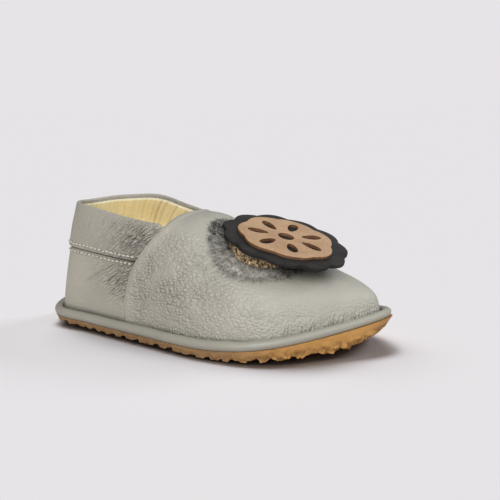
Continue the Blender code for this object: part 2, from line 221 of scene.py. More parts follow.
sole = {
    "length": 150.0,
    "ballWidth": 68.0,
    "thickness": 4.0,
    "toeSpring": 8.9,
    "springStart": 13.0,
    "treadSpring": 3.6,
    "toeRoll": 5.0,
    "toeRollStart": 63.0,
    "heelLift": 1.6,
    "heelLiftStart": 48.0,
    "gap": 0.3,
    # toe tip first, shares of half the length and half the ball width
    "lateralEdge": [(1.00, 0.34), (0.83, -0.30), (0.56, -0.88), (0.24, -1.00), (-0.20, -0.85),
                    (-0.64, -0.66), (-0.89, -0.54), (-1.00, 0.08)],
    "medialEdge": [(0.92, 0.67), (0.74, 0.93), (0.32, 1.00), (-0.20, 0.82), (-0.64, 0.80), (-0.88, 0.58)],
    "dense": 3600,
}

last = {
    "featherInset": 4.1,
    "seamShare": 0.66,
    "seamLean": 2.8,
    "rimDraw": 1.5,
    "fadeStart": 0.36,
    "heelFoot": 1.4,
    "heelLean": 0.35,
    "heelFrom": (0.78, 0.95),
    "seamHeight": 0.655,
    "seamSag": 0.042,  # the band seam dips towards the heel
    "sagReach": 0.33,
    "heelRound": 10.0,
    "heelCorner": np.array([0.868, 0.496]),  # away from the outer corner of the heel
    "shoulder": math.radians(56),
    "spineY": (1.5, 8.5),  # at the throat and at the toe
    "vamp": named(("share", "spineX", "spineZ", "square", "swell"), [
        (0.00, 57.0, 27.2, 2.6, 0.6),
        (0.10, 53.0, 29.0, 2.4, 0.8),
        (0.20, 46.0, 32.0, 2.2, 1.2),
        (0.32, 33.0, 36.9, 2.15, 1.8),
        (0.44, 17.0, 43.5, 2.3, 2.2),
        (0.55, 3.0, 49.2, 2.9, 2.0),
        (0.66, -7.5, 50.6, 3.2, 1.6),
    ]),
    "back": named(("share", "rimShare", "rimInset", "rimZ", "medialRise", "swell"), [
        (0.66, 0.560, 9.5, 47.3, 0.8, 1.4),
        (0.72, 0.630, 8.0, 48.2, 3.0, 1.3),
        (0.78, 0.702, 7.2, 50.0, 4.0, 1.2),
        (0.84, 0.790, 8.0, 52.3, 1.4, 1.1),
        (0.91, 0.890, 12.4, 52.9, 0.0, 0.5),
        (1.00, 1.000, 15.0, 52.6, 0.0, 0.1),
    ]),
}


def soleEdges():  # for each side: share of the way from toe to heel, places, inward ways, length
    shares = np.array(sole["lateralEdge"] + sole["medialEdge"][::-1])
    points = shares * (sole["length"] / 2, sole["ballWidth"] / 2)
    ring = np.vstack([points[-3:], points, points[:3]])
    knots = np.concatenate([[0], np.cumsum(np.sqrt(np.linalg.norm(np.diff(ring, axis=0), axis=1)))])
    loop = smooth(np.linspace(knots[3], knots[3 + len(points)], sole["dense"], endpoint=False), knots, ring)
    loop = np.roll(loop, -loop[:, 0].argmax(), axis=0)
    along = np.roll(loop, -1, axis=0) - np.roll(loop, 1, axis=0)
    inward = np.column_stack([along[:, 1], -along[:, 0]]) / np.linalg.norm(along, axis=1)[:, None]
    heel = loop[:, 0].argmin()
    found = {}
    for side, order in ((lateral, np.arange(heel + 1)),
                        (medial, np.arange(sole["dense"], heel - 1, -1) % sole["dense"])):
        run = running(loop[order])
        found[side] = (run / run[-1], loop[order], inward[order], run[-1])
    return found


edges = soleEdges()
sideLength = edges[lateral][3]


def edgeAt(side, share, inset):
    shares, places, inward, _ = edges[side]
    return np.stack([np.interp(share, shares, places[:, k]) + inset * np.interp(share, shares, inward[:, k])
                     for k in (0, 1)], axis=-1)


def edgeY(side, x, inset):  # inset may differ from place to place
    _, places, inward, _ = edges[side]
    found = np.zeros(len(x))
    for k, (at, back) in enumerate(zip(x, np.broadcast_to(inset, np.shape(x)))):
        moved = places + inward * back
        order = np.argsort(moved[:, 0])
        found[k] = np.interp(at, moved[order, 0], moved[order, 1])
    return found


def rising(x, start):
    return np.clip((x - start) / (sole["length"] / 2 - start), 0, None) ** 2


def treadZ(x):
    spring = sole["treadSpring"] * rising(x, sole["springStart"])
    roll = sole["toeRoll"] * rising(x, sole["toeRollStart"])
    return spring + roll + sole["heelLift"] * rising(-x, sole["heelLiftStart"])


def soleTopZ(x):
    toe = sole["toeSpring"] * rising(x, sole["springStart"])
    return sole["thickness"] + toe + sole["heelLift"] * rising(-x, sole["heelLiftStart"])


def feather(side, share):  # where the upper meets the sole
    xy = edgeAt(side, share, last["featherInset"])
    return np.column_stack([xy, soleTopZ(xy[:, 0]) + sole["gap"]])


def backWall(side, share, height):
    foot = feather(side, share)
    sag = last["seamSag"] * soft(0.70, 0.97, share)[:, None]
    height = np.asarray(height, float)[None, :]
    height = height - sag * np.clip(1 - np.abs(height - last["seamHeight"]) / last["sagReach"], 0, 1)
    table = last["back"]
    rim = {name: smooth(share, table["share"], table[name])[:, None] for name in table}
    along = share[:, None] + (rim["rimShare"] - share[:, None]) * height ** last["seamLean"]
    heel = soft(*last["heelFrom"], share)[:, None]
    draw = last["rimDraw"] - last["heelLean"] * heel
    drawn = last["featherInset"] + (rim["rimInset"] - last["featherInset"]) * height ** draw
    drawn = drawn - last["heelFoot"] * heel * np.clip(1 - height / 0.6, 0, 1)
    xy = edgeAt(side, along, drawn - rim["swell"] * np.sin(np.pi * height))
    top = rim["rimZ"] + (rim["medialRise"] if side == medial else 0)
    z = foot[:, 2:] + (top - foot[:, 2:]) * height
    return np.concatenate([xy, z[..., None]], axis=-1)


def arch(side, share, angle):  # one half of the vamp's sections
    table = last["vamp"]

    def column(values):
        return smooth(share, table["share"], values)

    foot = feather(side, share)[:, None, :]
    x = column(table["spineX"])
    y = np.interp(x, (table["spineX"][-1], table["spineX"][0]), last["spineY"])
    top = np.column_stack([x, y, column(table["spineZ"])])[:, None, :]
    power = 2 / column(table["square"])[:, None]
    reach = np.clip(np.cos(angle), 0, 1)[None, :] ** power
    rise = np.sin(angle)[None, :] ** power
    flat = (foot - top)[..., :2]
    out = flat / np.linalg.norm(flat, axis=-1, keepdims=True)
    swell = column(table["swell"])[:, None] * np.sin(2 * angle)[None, :]
    xy = top[..., :2] + flat * reach[..., None] + out * swell[..., None]
    fall = column(np.gradient(table["spineZ"], table["spineX"]))
    runOn = fall[:, None] * np.clip(flat[..., 0], 0, None) * reach * (1 - reach)
    z = foot[..., 2] + (top - foot)[..., 2] * rise + runOn
    return np.concatenate([xy, z[..., None]], axis=-1)


def vampHalf(side, share, wallRows, topRows):
    wallAngle = np.linspace(0, last["shoulder"], wallRows + 1)
    angle = np.concatenate([wallAngle, np.linspace(last["shoulder"], math.pi / 2, topRows + 1)[1:]])
    seam = np.array([last["seamShare"]])
    wall = backWall(side, seam, np.linspace(0, 1, wallRows + 1))[0]
    end = arch(side, seam, angle)[0]
    left = 1 - np.arange(1, topRows + 1) / topRows
    shift = np.zeros(end.shape)
    shift[: wallRows + 1] = wall - end[: wallRows + 1]
    shift[wallRows + 1:] = shift[wallRows] * (left ** 2)[:, None]
    shift[wallRows + 1:, 0] = end[-1, 0] + (wall[-1, 0] - end[-1, 0]) * left - end[wallRows + 1:, 0]
    drawn = soft(last["fadeStart"], last["seamShare"], share)
    return arch(side, share, angle) + drawn[:, None, None] * shift


def vampGrid(shares, wallRows, topRows):  # lateral feather over the spine to medial feather
    near, far = (vampHalf(side, shares, wallRows, topRows) for side in (lateral, medial))
    return np.concatenate([near, far[:, -2::-1]], axis=1)


def backGrid(start, count, height):  # columns by heights, lateral seam round the heel to medial seam
    t = np.linspace(0, 1, count)
    shares = start + (1 - start) * (0.35 * t + 0.65 * t * t)  # closer together at the seams
    grid = np.concatenate([backWall(lateral, shares, height), backWall(medial, shares[-2::-1], height)])
    heel = soft(0.72, 0.86, np.concatenate([shares, shares[-2::-1]]))[:, None]
    corner = last["heelCorner"]
    for k, level in enumerate(height):  # the corner of the heel is rounded, more so towards the rim
        line = grid[:, k, :2].copy()
        run = running(grid[:, k])
        reach = last["heelRound"] * soft(0.1, 0.85, level) + 0.1
        near = bell(run[:, None] - run[None, :], reach)
        eased = near @ line / near.sum(axis=1)[:, None]
        lost = (eased @ corner).min() - (line @ corner).min()
        grid[:, k, :2] = line + heel * (eased - line - lost * corner)
    return grid


def seamGrid(sizes, height, row):  # a back grid, with each column's distance from its nearer end
    grid = backGrid(sizes["start"], sizes["columns"], height)
    run = running(grid[:, row])
    return grid, run, np.minimum(run, run[-1] - run)


def outwardOf(grid):  # outward normals of a back grid
    normal = np.cross(np.gradient(grid, axis=1), np.gradient(grid, axis=0))
    return normal / np.linalg.norm(normal, axis=-1, keepdims=True)


def creases(points, lines):  # soft troughs with a low ridge beside them, along lines in x and z
    total = np.zeros(len(points))
    flat = points[:, [0, 2]]
    for depth, width, path in lines:
        path = np.array(path, float)
        steps = np.linalg.norm(np.diff(path, axis=0), axis=1)
        nearest, along, gone = np.full(len(points), 1e9), np.zeros(len(points)), 0.0
        for a, b, step in zip(path[:-1], path[1:], steps):
            t = np.clip(((flat - a) @ (b - a)) / step ** 2, 0, 1)
            off = np.linalg.norm(flat - a - t[:, None] * (b - a), axis=1)
            along = np.where(off < nearest, (gone + t * step) / steps.sum(), along)
            nearest, gone = np.minimum(nearest, off), gone + step
        taper = soft(0, 0.3, along) * soft(0, 0.3, 1 - along)
        total += depth * taper * (0.5 * bell(nearest - 2.1 * width, width) - bell(nearest, width))
    return total


def foldsOn(grid, lines):  # creases on a back grid, shallower on the inner side of the foot
    folded = creases(grid.reshape(-1, 3), lines).reshape(grid.shape[:2])
    return folded * np.where(grid[..., 1] < 0, 1, 0.8)


# materials

def wire(tree, kind, outlet=0, **given):  # a capital names a socket, i and a number counts them
    made = tree.nodes.new("ShaderNode" + kind)
    for key, value in given.items():
        if key[0] == "i" and key[1:].isdigit():
            target = made.inputs[int(key[1:])]
        elif key[0].isupper():
            target = made.inputs[key.replace("_", " ")]
        else:
            setattr(made, key, value)
            continue
        if isinstance(value, bpy.types.NodeSocket):
            tree.links.new(value, target)
        else:
            target.default_value = value
    return made.outputs[outlet]


def newLook(name, roughness, **sockets):
    made = bpy.data.materials.new(name)
    made.use_nodes = True
    shader = made.node_tree.nodes["Principled BSDF"]
    shader.inputs["Roughness"].default_value = roughness
    for key, value in sockets.items():
        shader.inputs[key.replace("_", " ")].default_value = value
    return made, made.node_tree, shader


def times(tree, a, b):
    return wire(tree, "Math", operation="MULTIPLY", i0=a, i1=b)


def plus(tree, a, b):
    return wire(tree, "Math", operation="ADD", i0=a, i1=b)


def rest(tree, a):
    return wire(tree, "Math", operation="SUBTRACT", i0=1.0, i1=a)


def shade(tree, factor, first, second):  # mix of two colours
    first, second = ((*c, 1) if isinstance(c, (tuple, list)) else c for c in (first, second))
    return wire(tree, "Mix", 2, data_type="RGBA", i0=factor, i6=first, i7=second)


def scaled(colour, by):
    return [c * by for c in colour]


def markIn(tree, name):
    return wire(tree, "Attribute", 2, attribute_name=name)


def noiseAt(tree, scale, detail=2.0, outlet=0, **more):
    place = wire(tree, "TexCoord", 3)
    return wire(tree, "TexNoise", outlet, Vector=place, Scale=scale, Detail=detail, **more)


def ranged(tree, value, low, high, **more):
    return wire(tree, "MapRange", Value=value, From_Min=low, From_Max=high, **more)


def insideCells(tree, place, size, width):  # 0 on the lines between cells, 1 inside them
    edge = wire(tree, "TexVoronoi", feature="DISTANCE_TO_EDGE", Vector=place, Scale=1000 / size)
    return ranged(tree, edge, 0.0, width, interpolation_type="SMOOTHSTEP")


def dress(tree, shader, colour, height=None, relief=0.0, deep=0.0):
    tree.links.new(colour, shader.inputs["Base Color"])
    if height is not None:
        bump = wire(tree, "Bump", Strength=relief, Distance=deep, Height=height)
        tree.links.new(bump, shader.inputs["Normal"])


def leatherLook(name, colour, shadeColour, cell, relief, roughness, lean=None, pitch=1.5):
    made, tree, shader = newLook(name, roughness, Specular_IOR_Level=0.45)

    def vector(operation, a, **b):
        return wire(tree, "VectorMath", operation=operation, i0=a, **b)

    stretched = vector("MULTIPLY", wire(tree, "TexCoord", 3), i1=(0.85, 1.0, 1.25))
    wobble = vector("SUBTRACT", noiseAt(tree, 420.0, outlet=1), i1=(0.5, 0.5, 0.5))
    bent = vector("ADD", stretched, i1=vector("SCALE", wobble, Scale=0.0016))
    dome = wire(tree, "TexVoronoi", feature="SMOOTH_F1", Vector=bent, Scale=1000 / cell, Smoothness=0.12)
    rim = insideCells(tree, bent, cell, 0.26)
    pebble = plus(tree, times(tree, dome, -1.25), times(tree, rim, 0.16))
    patch = ranged(tree, noiseAt(tree, 75.0), 0.32, 0.58, To_Min=0.35, To_Max=1.0)
    grain = times(tree, markIn(tree, "grain"), patch)  # comes and goes in patches
    gather = markIn(tree, "gather")
    cloud = ranged(tree, noiseAt(tree, 46.0, 3.0), 0.35, 0.65)
    base = shade(tree, cloud, scaled(colour, 0.95), scaled(colour, 1.05))
    # painted shade: the valleys between the pebbles are darkened
    base = shade(tree, times(tree, rest(tree, rim), times(tree, grain, 0.2)), base, shadeColour)
    if lean is None:  # fine drawn wrinkles that follow the edge they were pulled to
        stray = times(tree, noiseAt(tree, 210.0, 3.0), 17.0)
        slant = plus(tree, times(tree, markIn(tree, "run"), 2 * math.pi / pitch), stray)
        broken = ranged(tree, noiseAt(tree, 330.0), 0.38, 0.6)
        pleat = times(tree, plus(tree, wire(tree, "Math", operation="SINE", i0=slant), 1.0), broken)
        pleat = times(tree, pleat, gather)
    else:  # long narrow puffs between slanting creases
        turned = wire(tree, "VectorRotate", rotation_type="Y_AXIS", Vector=bent, Angle=math.radians(lean))
        puff = insideCells(tree, vector("MULTIPLY", turned, i1=(0.22, 0.25, 1.1)), pitch, 0.2)
        pleat = times(tree, puff, times(tree, gather, 2.3))
        # painted shade: the creases between the puffs are darkened
        creaseShade = times(tree, rest(tree, puff), gather)
        base = shade(tree, times(tree, creaseShade, 0.6), base, scaled(shadeColour, 0.9))
    height = plus(tree, times(tree, pebble, grain), times(tree, noiseAt(tree, 1900.0, 3.0), 0.13))
    height = plus(tree, height, times(tree, pleat, 0.6))
    # painted shade where the piece is marked: along seams, under edges, in creases and round stitches
    dress(tree, shader, shade(tree, markIn(tree, "grime"), base, scaled(shadeColour, 0.35)), height, relief, 0.0008)
    return made


def mottledLook(name, look):  # two colours mixed by noise, then painted light and shade laid on where the piece is marked
    made, tree, shader = newLook(name, look["rough"], Specular_IOR_Level=look["shine"],
                                 Sheen_Weight=look.get("sheen", 0.0))
    fine = mixed = noiseAt(tree, *look["fine"], Roughness=look.get("fineRough", 0.5))
    if "broad" in look:
        share, *broad = look["broad"]
        mixed = plus(tree, times(tree, fine, 1 - share), times(tree, noiseAt(tree, *broad), share))
    colour = shade(tree, ranged(tree, mixed, *look["range"]), *look["colours"])
    for key, weight, paintedColour in look.get("paintedLightAndShade", ()):
        colour = shade(tree, times(tree, markIn(tree, key), weight), colour, paintedColour)
    dress(tree, shader, colour, fine if "bump" in look else None, *look.get("bump", ()))
    return made


# colour, colour of the painted shade, grain size, relief, roughness, then lean and pitch of slanting creases
leathers = {
    "pebbled grey leather": ((0.322, 0.302, 0.257), (0.18, 0.167, 0.138), 1.45, 1.0, 0.42),
    "heel grey leather": ((0.325, 0.303, 0.252), (0.18, 0.167, 0.137), 1.2, 0.85, 0.52, 42, 1.45),
    "collar grey leather": ((0.305, 0.284, 0.238), (0.165, 0.152, 0.127), 1.1, 0.85, 0.52, 47, 1.35),
    "smooth welt leather": ((0.268, 0.252, 0.21), (0.16, 0.148, 0.124), 1.0, 0.3, 0.44),
}
vampLook, backLook, bandLook, weltLook = (leatherLook(name, *look) for name, look in leathers.items())
print("materials made for the leathers")


# vamp: front of the upper, one sheet from side seam to side seam

vampSheet = {
    "columns": 116, "wallRows": 50, "topRows": 30, "thickness": 1.3, "edgeRound": 0.45, "easeReach": 13.0,
    "easeRounds": 70, "toeEase": 0.09, "toeFoot": 0.12, "toeRounds": 30, "seamPuff": 0.4, "puffAt": 2.0,
    "puffWidth": 1.8, "waves": ((0.10, 9.0, 0.0), (0.05, 4.0, 5.0)), "toeGather": 0.6, "footGather": 0.3,
    "grime": 0.75, "grimeTop": (0.025, 0.065),
    "grainTop": ((0, 0.25, 0.33, 0.5, 0.66), (0.28, 0.33, 0.38, 0.62, 0.56)),  # how far up the grain goes
    # soft dents of the worn-in leather: depth, width, line in x and z
    "dents": [
        (0.25, 1.6, [(-10.0, 33.8), (-11.9, 29.8), (-12.5, 26.0)]),
        (0.22, 1.8, [(-4.0, 36.0), (-6.0, 29.0)]),
        (0.20, 2.2, [(-14.5, 24.0), (-17.0, 16.0)]),
    ],
}


def easedVamp(sizes, shares):  # throat first, so it faces out, with the corner between wall and top eased
    grid = vampGrid(shares, sizes["wallRows"], sizes["topRows"])[::-1]
    row = np.arange(grid.shape[1])
    corner = sum(bell(row - at, sizes["easeReach"])
                 for at in (sizes["wallRows"], grid.shape[1] - 1 - sizes["wallRows"]))[None, 1:-1, None]
    for _ in range(sizes["easeRounds"]):
        grid[:, 1:-1] += 0.5 * corner * ((grid[:, 2:] + grid[:, :-2]) / 2 - grid[:, 1:-1])
    return grid


def easeToe(piece, chosen, rounds):  # smooth out the pole over the toe
    pick(piece)
    bpy.ops.object.mode_set(mode="EDIT")
    bpy.ops.mesh.select_mode(type="VERT")
    bpy.ops.mesh.select_all(action="DESELECT")
    bpy.ops.object.mode_set(mode="OBJECT")
    piece.data.vertices.foreach_set("select", chosen)
    bpy.ops.object.mode_set(mode="EDIT")
    bpy.ops.mesh.vertices_smooth(factor=0.5, repeat=rounds)
    bpy.ops.object.mode_set(mode="OBJECT")


def makeVamp(sizes):
    shares = np.linspace(0, last["seamShare"], sizes["columns"] + 1)
    grid = easedVamp(sizes, shares)
    share = shares[::-1, None]
    rows = sizes["wallRows"] + sizes["topRows"]
    up = 1 - np.abs(np.arange(grid.shape[1]) - rows)[None, :] / rows  # 0 at the sole, 1 on the spine
    fromToe = 0.3 + 0.25 * soft(0.1, 0.3, share) + 0.45 * soft(0.34, 0.5, share)
    grain = 0.08 + 0.85 * (1 - soft(-0.14, 0.16, up - np.interp(share, *sizes["grainTop"]))) * fromToe
    grain = grain * (1 - 0.45 * (1 - soft(0.08, 0.24, up))) * (1 - 0.6 * soft(0.61, 0.655, share))
    gather = (1 - soft(0.02, 0.30, up)) * (1 - soft(0.16, 0.36, share)) * sizes["toeGather"]
    gather = np.maximum(gather, sizes["footGather"] * (1 - soft(0.02, 0.14, up)))
    # painted shade: darker near the sole, where the vamp meets the welt
    piece = gridSheet("vamp", grid, grain=grain, gather=gather, run=share * sideLength, share=share,
                      grime=sizes["grime"] * (1 - soft(*sizes["grimeTop"], up)), up=up)
    weld(piece)
    overToe = (marked(piece, "share") < sizes["toeEase"]) & (marked(piece, "up") > sizes["toeFoot"])
    easeToe(piece, overToe, sizes["toeRounds"])
    points = pointsOf(piece)
    toSeam = (last["seamShare"] - marked(piece, "share")) * sideLength
    puff = sizes["seamPuff"] * bell(toSeam - sizes["puffAt"], sizes["puffWidth"])
    pushOut(piece, puff + waves(points, sizes["waves"]) + creases(points, sizes["dents"]))
    thicken(piece, sizes["thickness"])
    bevel(piece, sizes["edgeRound"], 3)
    return finishPiece(piece, [vampLook], "grey_leather", "upper", sharpFrom=60)


vamp = makeVamp(vampSheet)
print("vamp laid over the last")


# stitches: two rows, over and under the seam of the collar band
seamStitch = {
    "pitch": 2.4, "length": 2.0, "radius": 0.46, "rows": (0.688, 0.619), "lift": (0.48, -0.12),
    "shadeByStitch": 0.4, "shadeByStitchReach": 0.008, "lengthRange": (0.72, 1.15), "skew": 0.03, "stray": 0.12,
    "fromSeam": 0.006, "first": 1.2, "ahead": 0.4, "columns": 260, "ribbon": 0.01,
}


# painted shade along a stitch row
def stitchShade(height, row):
    return seamStitch["shadeByStitch"] * bell(height - seamStitch["rows"][row], seamStitch["shadeByStitchReach"])


# back panel: below the collar band, round the heel

panelSheet = {
    "start": 0.652, "lap": 1.3, "columns": 185, "rows": 88, "top": 0.668, "recess": 0.35, "seamTuck": 0.85,
    "seamReach": 1.9, "thickness": 0.8, "edgeRound": 0.35, "waves": ((0.08, 6.0, 0.0),), "topTuck": 0.35,
    "fan": (-18.0, 37.0), "fanDepth": 0.3, "fanCount": 17, "fanRun": 7, "fanAt": 9, "fanReach": 14,
    "wrinkleReach": 17.0, "grain": 0.22, "wrinkleGrain": 0.5, "gather": 0.62,
    "creases": [
        (0.45, 0.38, [(-29.1, 33.1), (-34.0, 29.0), (-41.9, 25.1), (-52.1, 18.9)]),
        (0.50, 0.36, [(-25.4, 32.3), (-30.5, 25.9), (-35.6, 22.3), (-39.2, 19.7)]),
        (0.48, 0.36, [(-23.8, 31.5), (-28.7, 24.3), (-32.1, 19.7), (-36.8, 14.2)]),
        (0.36, 0.34, [(-28.3, 29.3), (-32.1, 25.1), (-36.0, 22.6), (-40.5, 21.0)]),
        (0.36, 0.34, [(-24.9, 26.0), (-27.5, 20.5), (-31.0, 15.5)]),
        (0.30, 0.34, [(-23.9, 23.0), (-25.9, 18.5), (-28.4, 13.5)]),
    ],
}


def makeBackPanel(sizes):
    top = sizes["top"]
    height = np.linspace(0, top, sizes["rows"] + 1)
    grid, _, toEnd = seamGrid(sizes, height, sizes["rows"] // 2)
    toSeam = np.clip(toEnd - sizes["lap"], 0, None)[:, None]
    deep = (sizes["recess"] + sizes["seamTuck"] * bell(toSeam, sizes["seamReach"])) * soft(0, 0.12, height)
    deep = deep + sizes["topTuck"] * soft(top - 0.06, top - 0.015, height)
    fromFoot = soft(0, 0.16, height)
    flat = grid.reshape(-1, 3)
    # finer wrinkles fan out from the corner under the band
    away = flat[:, [0, 2]] - sizes["fan"]
    reach = np.linalg.norm(away, axis=1)
    turn = np.arctan2(-away[:, 0], -away[:, 1])
    side = np.where(flat[:, 1] < 0, 0, 40)  # the two sides of the foot differ
    fan = ridged(np.column_stack([turn * sizes["fanCount"], reach / sizes["fanRun"], side]), 1.0, 3.0)
    fan = (fan * bell(reach - sizes["fanAt"], sizes["fanReach"])).reshape(grid.shape[:2])
    folded = (foldsOn(grid, sizes["creases"]) - sizes["fanDepth"] * np.clip(fan, 0, 1) ** 2) * fromFoot
    wave = waves(flat, sizes["waves"]).reshape(grid.shape[:2])
    grid = grid + outwardOf(grid) * (folded + wave - deep)[..., None]
    wrinkled = bell(toSeam, sizes["wrinkleReach"]) * soft(0.10, 0.5, height)
    # painted shade: darker at the foot by the welt, in a line under the band's edge, in the creases and round
    # the lower stitch row
    grime = 0.8 * (1 - soft(0.05, 0.12, height)) + 0.85 * soft(top - 0.036, top - 0.016, height)
    grime = grime + np.clip(-0.3 * folded, 0, 0.2) + stitchShade(height, 1)
    piece = gridSheet("back_panel", grid[::-1], gather=(sizes["gather"] * wrinkled)[::-1], grime=grime[::-1],
                      grain=(sizes["grain"] + sizes["wrinkleGrain"] * wrinkled)[::-1])
    thicken(piece, sizes["thickness"])
    bevel(piece, sizes["edgeRound"], 2)
    finishPiece(piece, [backLook], "grey_leather", "upper", sharpFrom=60)


makeBackPanel(panelSheet)
print("back panel set round the heel")


# collar band: a folded tube of leather with a rolled rim

bandTube = {
    "start": 0.656, "lap": 0.8, "columns": 190, "foot": 0.648, "outerRows": 60, "rollRows": 10,
    "innerRows": 14, "proud": 0.45, "rimProud": 0.25, "inside": -1.45, "footTuck": 1.0, "footRound": 0.014,
    "seamTuck": 1.0, "seamReach": 1.6, "endSink": 2.0, "rimRise": 0.9, "crumple": 0.3, "crumpleReach": 15.0,
    "crumpleSize": (1.5, 10, 30), "waves": ((0.10, 5.0, 0.0), (0.06, 2.6, 3.0)),
    "wrinkle": ((0.85, 17), (0.15, 36)), "grain": 0.25, "wrinkleGrain": 0.35, "gather": 0.8,
    "creases": [
        (0.55, 0.36, [(-21.1, 43.5), (-24.9, 40.6), (-27.9, 38.6), (-30.2, 36.4)]),
        (0.60, 0.34, [(-16.4, 46.7), (-18.9, 43.6), (-22.1, 40.0), (-24.2, 36.9)]),
        (0.55, 0.34, [(-13.8, 45.7), (-16.5, 42.1), (-19.3, 38.5), (-20.9, 35.5)]),
        (0.45, 0.34, [(-18.9, 47.0), (-22.0, 43.4), (-24.8, 40.0), (-27.2, 36.6)]),
        (0.40, 0.36, [(-30.1, 48.0), (-34.1, 44.7), (-36.5, 42.8)]),
        (0.40, 0.36, [(-25.5, 46.8), (-29.0, 43.4), (-32.5, 40.2), (-34.5, 37.0)]),
        (0.20, 0.60, [(-39.0, 48.4), (-39.4, 44.3)]),
        (0.14, 0.70, [(-46.0, 49.0), (-47.5, 43.0)]),
    ],
}


def makeBand(sizes):
    low, inside = sizes["foot"], sizes["inside"]
    height = np.linspace(low, 1, sizes["outerRows"] + 1)
    grid, _, toEnd = seamGrid(sizes, height, sizes["outerRows"] // 2)
    out = outwardOf(grid)
    toSeam = np.clip(toEnd - sizes["lap"], 0, None)[:, None]
    flat = grid.reshape(-1, 3)
    x, y, z = flat.T
    # finer wrinkles lie along the slanting creases near the vamp
    wide, long, deep = sizes["crumpleSize"]
    lie = np.column_stack([(x * 0.71 - z * 0.71) / wide, (x + z) / long, y / deep])
    crumple = ridged(lie, 1.0, 7.0).reshape(grid.shape[:2]) * bell(toSeam, sizes["crumpleReach"])
    folded = foldsOn(grid, sizes["creases"]) - sizes["crumple"] * np.clip(crumple, 0, 1) ** 2
    wave = waves(flat, sizes["waves"]).reshape(grid.shape[:2])
    fade = soft(low, low + 0.05, height) * (1 - 0.6 * soft(0.93, 1, height))
    proud = sizes["proud"] + (sizes["rimProud"] - sizes["proud"]) * soft(0.8, 1, height)
    tuckIn = -sizes["footTuck"] * (1 - soft(low, low + sizes["footRound"], height))
    lift = proud + tuckIn - sizes["seamTuck"] * bell(toSeam, sizes["seamReach"]) + (folded + wave) * fade
    outer = grid + out * lift[..., None]
    # the rim rolls over in a half circle from the outer to the inner face
    rimOut = out[:, -1] * (1, 1, 0)
    rimOut /= np.linalg.norm(rimOut, axis=1)[:, None]
    radius = (lift[:, -1:] - inside) / 2
    middle = grid[:, -1] + rimOut * (inside + radius)
    upward = np.array([0, 0, sizes["rimRise"]])
    turns = np.linspace(0, math.pi, sizes["rollRows"] + 1)[1:]
    roll = [middle + rimOut * radius * math.cos(t) + upward * radius * math.sin(t) for t in turns]
    down = np.linspace(1, low, sizes["innerRows"] + 1)[1:]
    inner = backGrid(sizes["start"], sizes["columns"], down[::-1])
    inner = (inner + outwardOf(inner) * inside)[:, ::-1]
    loop = np.concatenate([outer, np.stack(roll, axis=1), inner, outer[:, :1]], axis=1)
    level = np.concatenate([height, np.ones(len(turns)), down, height[:1]])
    loop[..., 2] -= sizes["endSink"] * bell(toSeam, sizes["seamReach"]) * soft(0.8, 1, level)
    wrinkled = sum(share * bell(toSeam, reach) for share, reach in sizes["wrinkle"])
    # painted shade: darker along the folded foot edge, round the upper stitch row and in the creases
    grime = 1 - soft(low, low + sizes["footRound"], level) + stitchShade(level, 0)
    grime = grime + np.pad(np.clip(-0.3 * folded, 0, 0.2), ((0, 0), (0, len(level) - len(height))))
    gather = sizes["gather"] * wrinkled * (1 - 0.7 * soft(0.94, 1, level))
    piece = gridSheet("collar_band_leather", loop[::-1], gather=gather[::-1], grime=grime[::-1],
                      grain=(sizes["grain"] + sizes["wrinkleGrain"] * wrinkled)[::-1])
    weld(piece)
    edit(piece, (bpy.ops.mesh.fill_holes, {"sides": 0}), faceOut)
    finishPiece(piece, [bandLook], "band_leather", "collar_band", sharpFrom=70)


makeBand(bandTube)
print("collar band folded and creased")


# lining: chamois inside the whole upper, gathered under the collar

liningSheet = {
    "start": 0.645, "columns": 170, "rows": 60, "top": 0.985, "depth": 1.5, "lowDepth": 1.3, "heelDepth": 0.9,
    "thickness": 0.3, "pleatPitch": 2.8, "pleat": 0.7, "pleatReach": 52.0, "endSink": 3.6, "endReach": 3.2,
    "wander": ((1.7, 7.0, 0, 3), (0.4, 2.0, 9, 3)),  # how much, how long, and a place in the noise
    "rimHighlightReach": 0.3, "frontColumns": 60, "frontDepth": 1.5, "frontFoot": 0.9,
}


def suedeLook(name, colour, other, relief):
    # painted shade darkens the valleys of the pleats
    return mottledLook(name, {
        "rough": 0.85, "shine": 0.2, "sheen": 0.2, "fine": (900.0, 5.0), "fineRough": 0.7,
        "broad": (0.5, 60.0, 3.0), "range": (0.35, 0.65), "colours": (colour, other),
        "paintedLightAndShade": [("fold", 0.52, scaled(colour, 0.3))], "bump": (relief, 0.0003)})


chamoisLook = suedeLook("yellow chamois", (0.64, 0.487, 0.218), (0.735, 0.61, 0.325), 0.35)
# painted highlight: a paler chamois for the faces along the rim
rimHighlightLook = suedeLook("chamois rim highlight", (0.82, 0.72, 0.48), (0.88, 0.81, 0.60), 0.3)


def alongRim(run, size, y, z):  # noise along the rim
    return np.array([noise.noise(Vector((r / size, y, z))) for r in run])


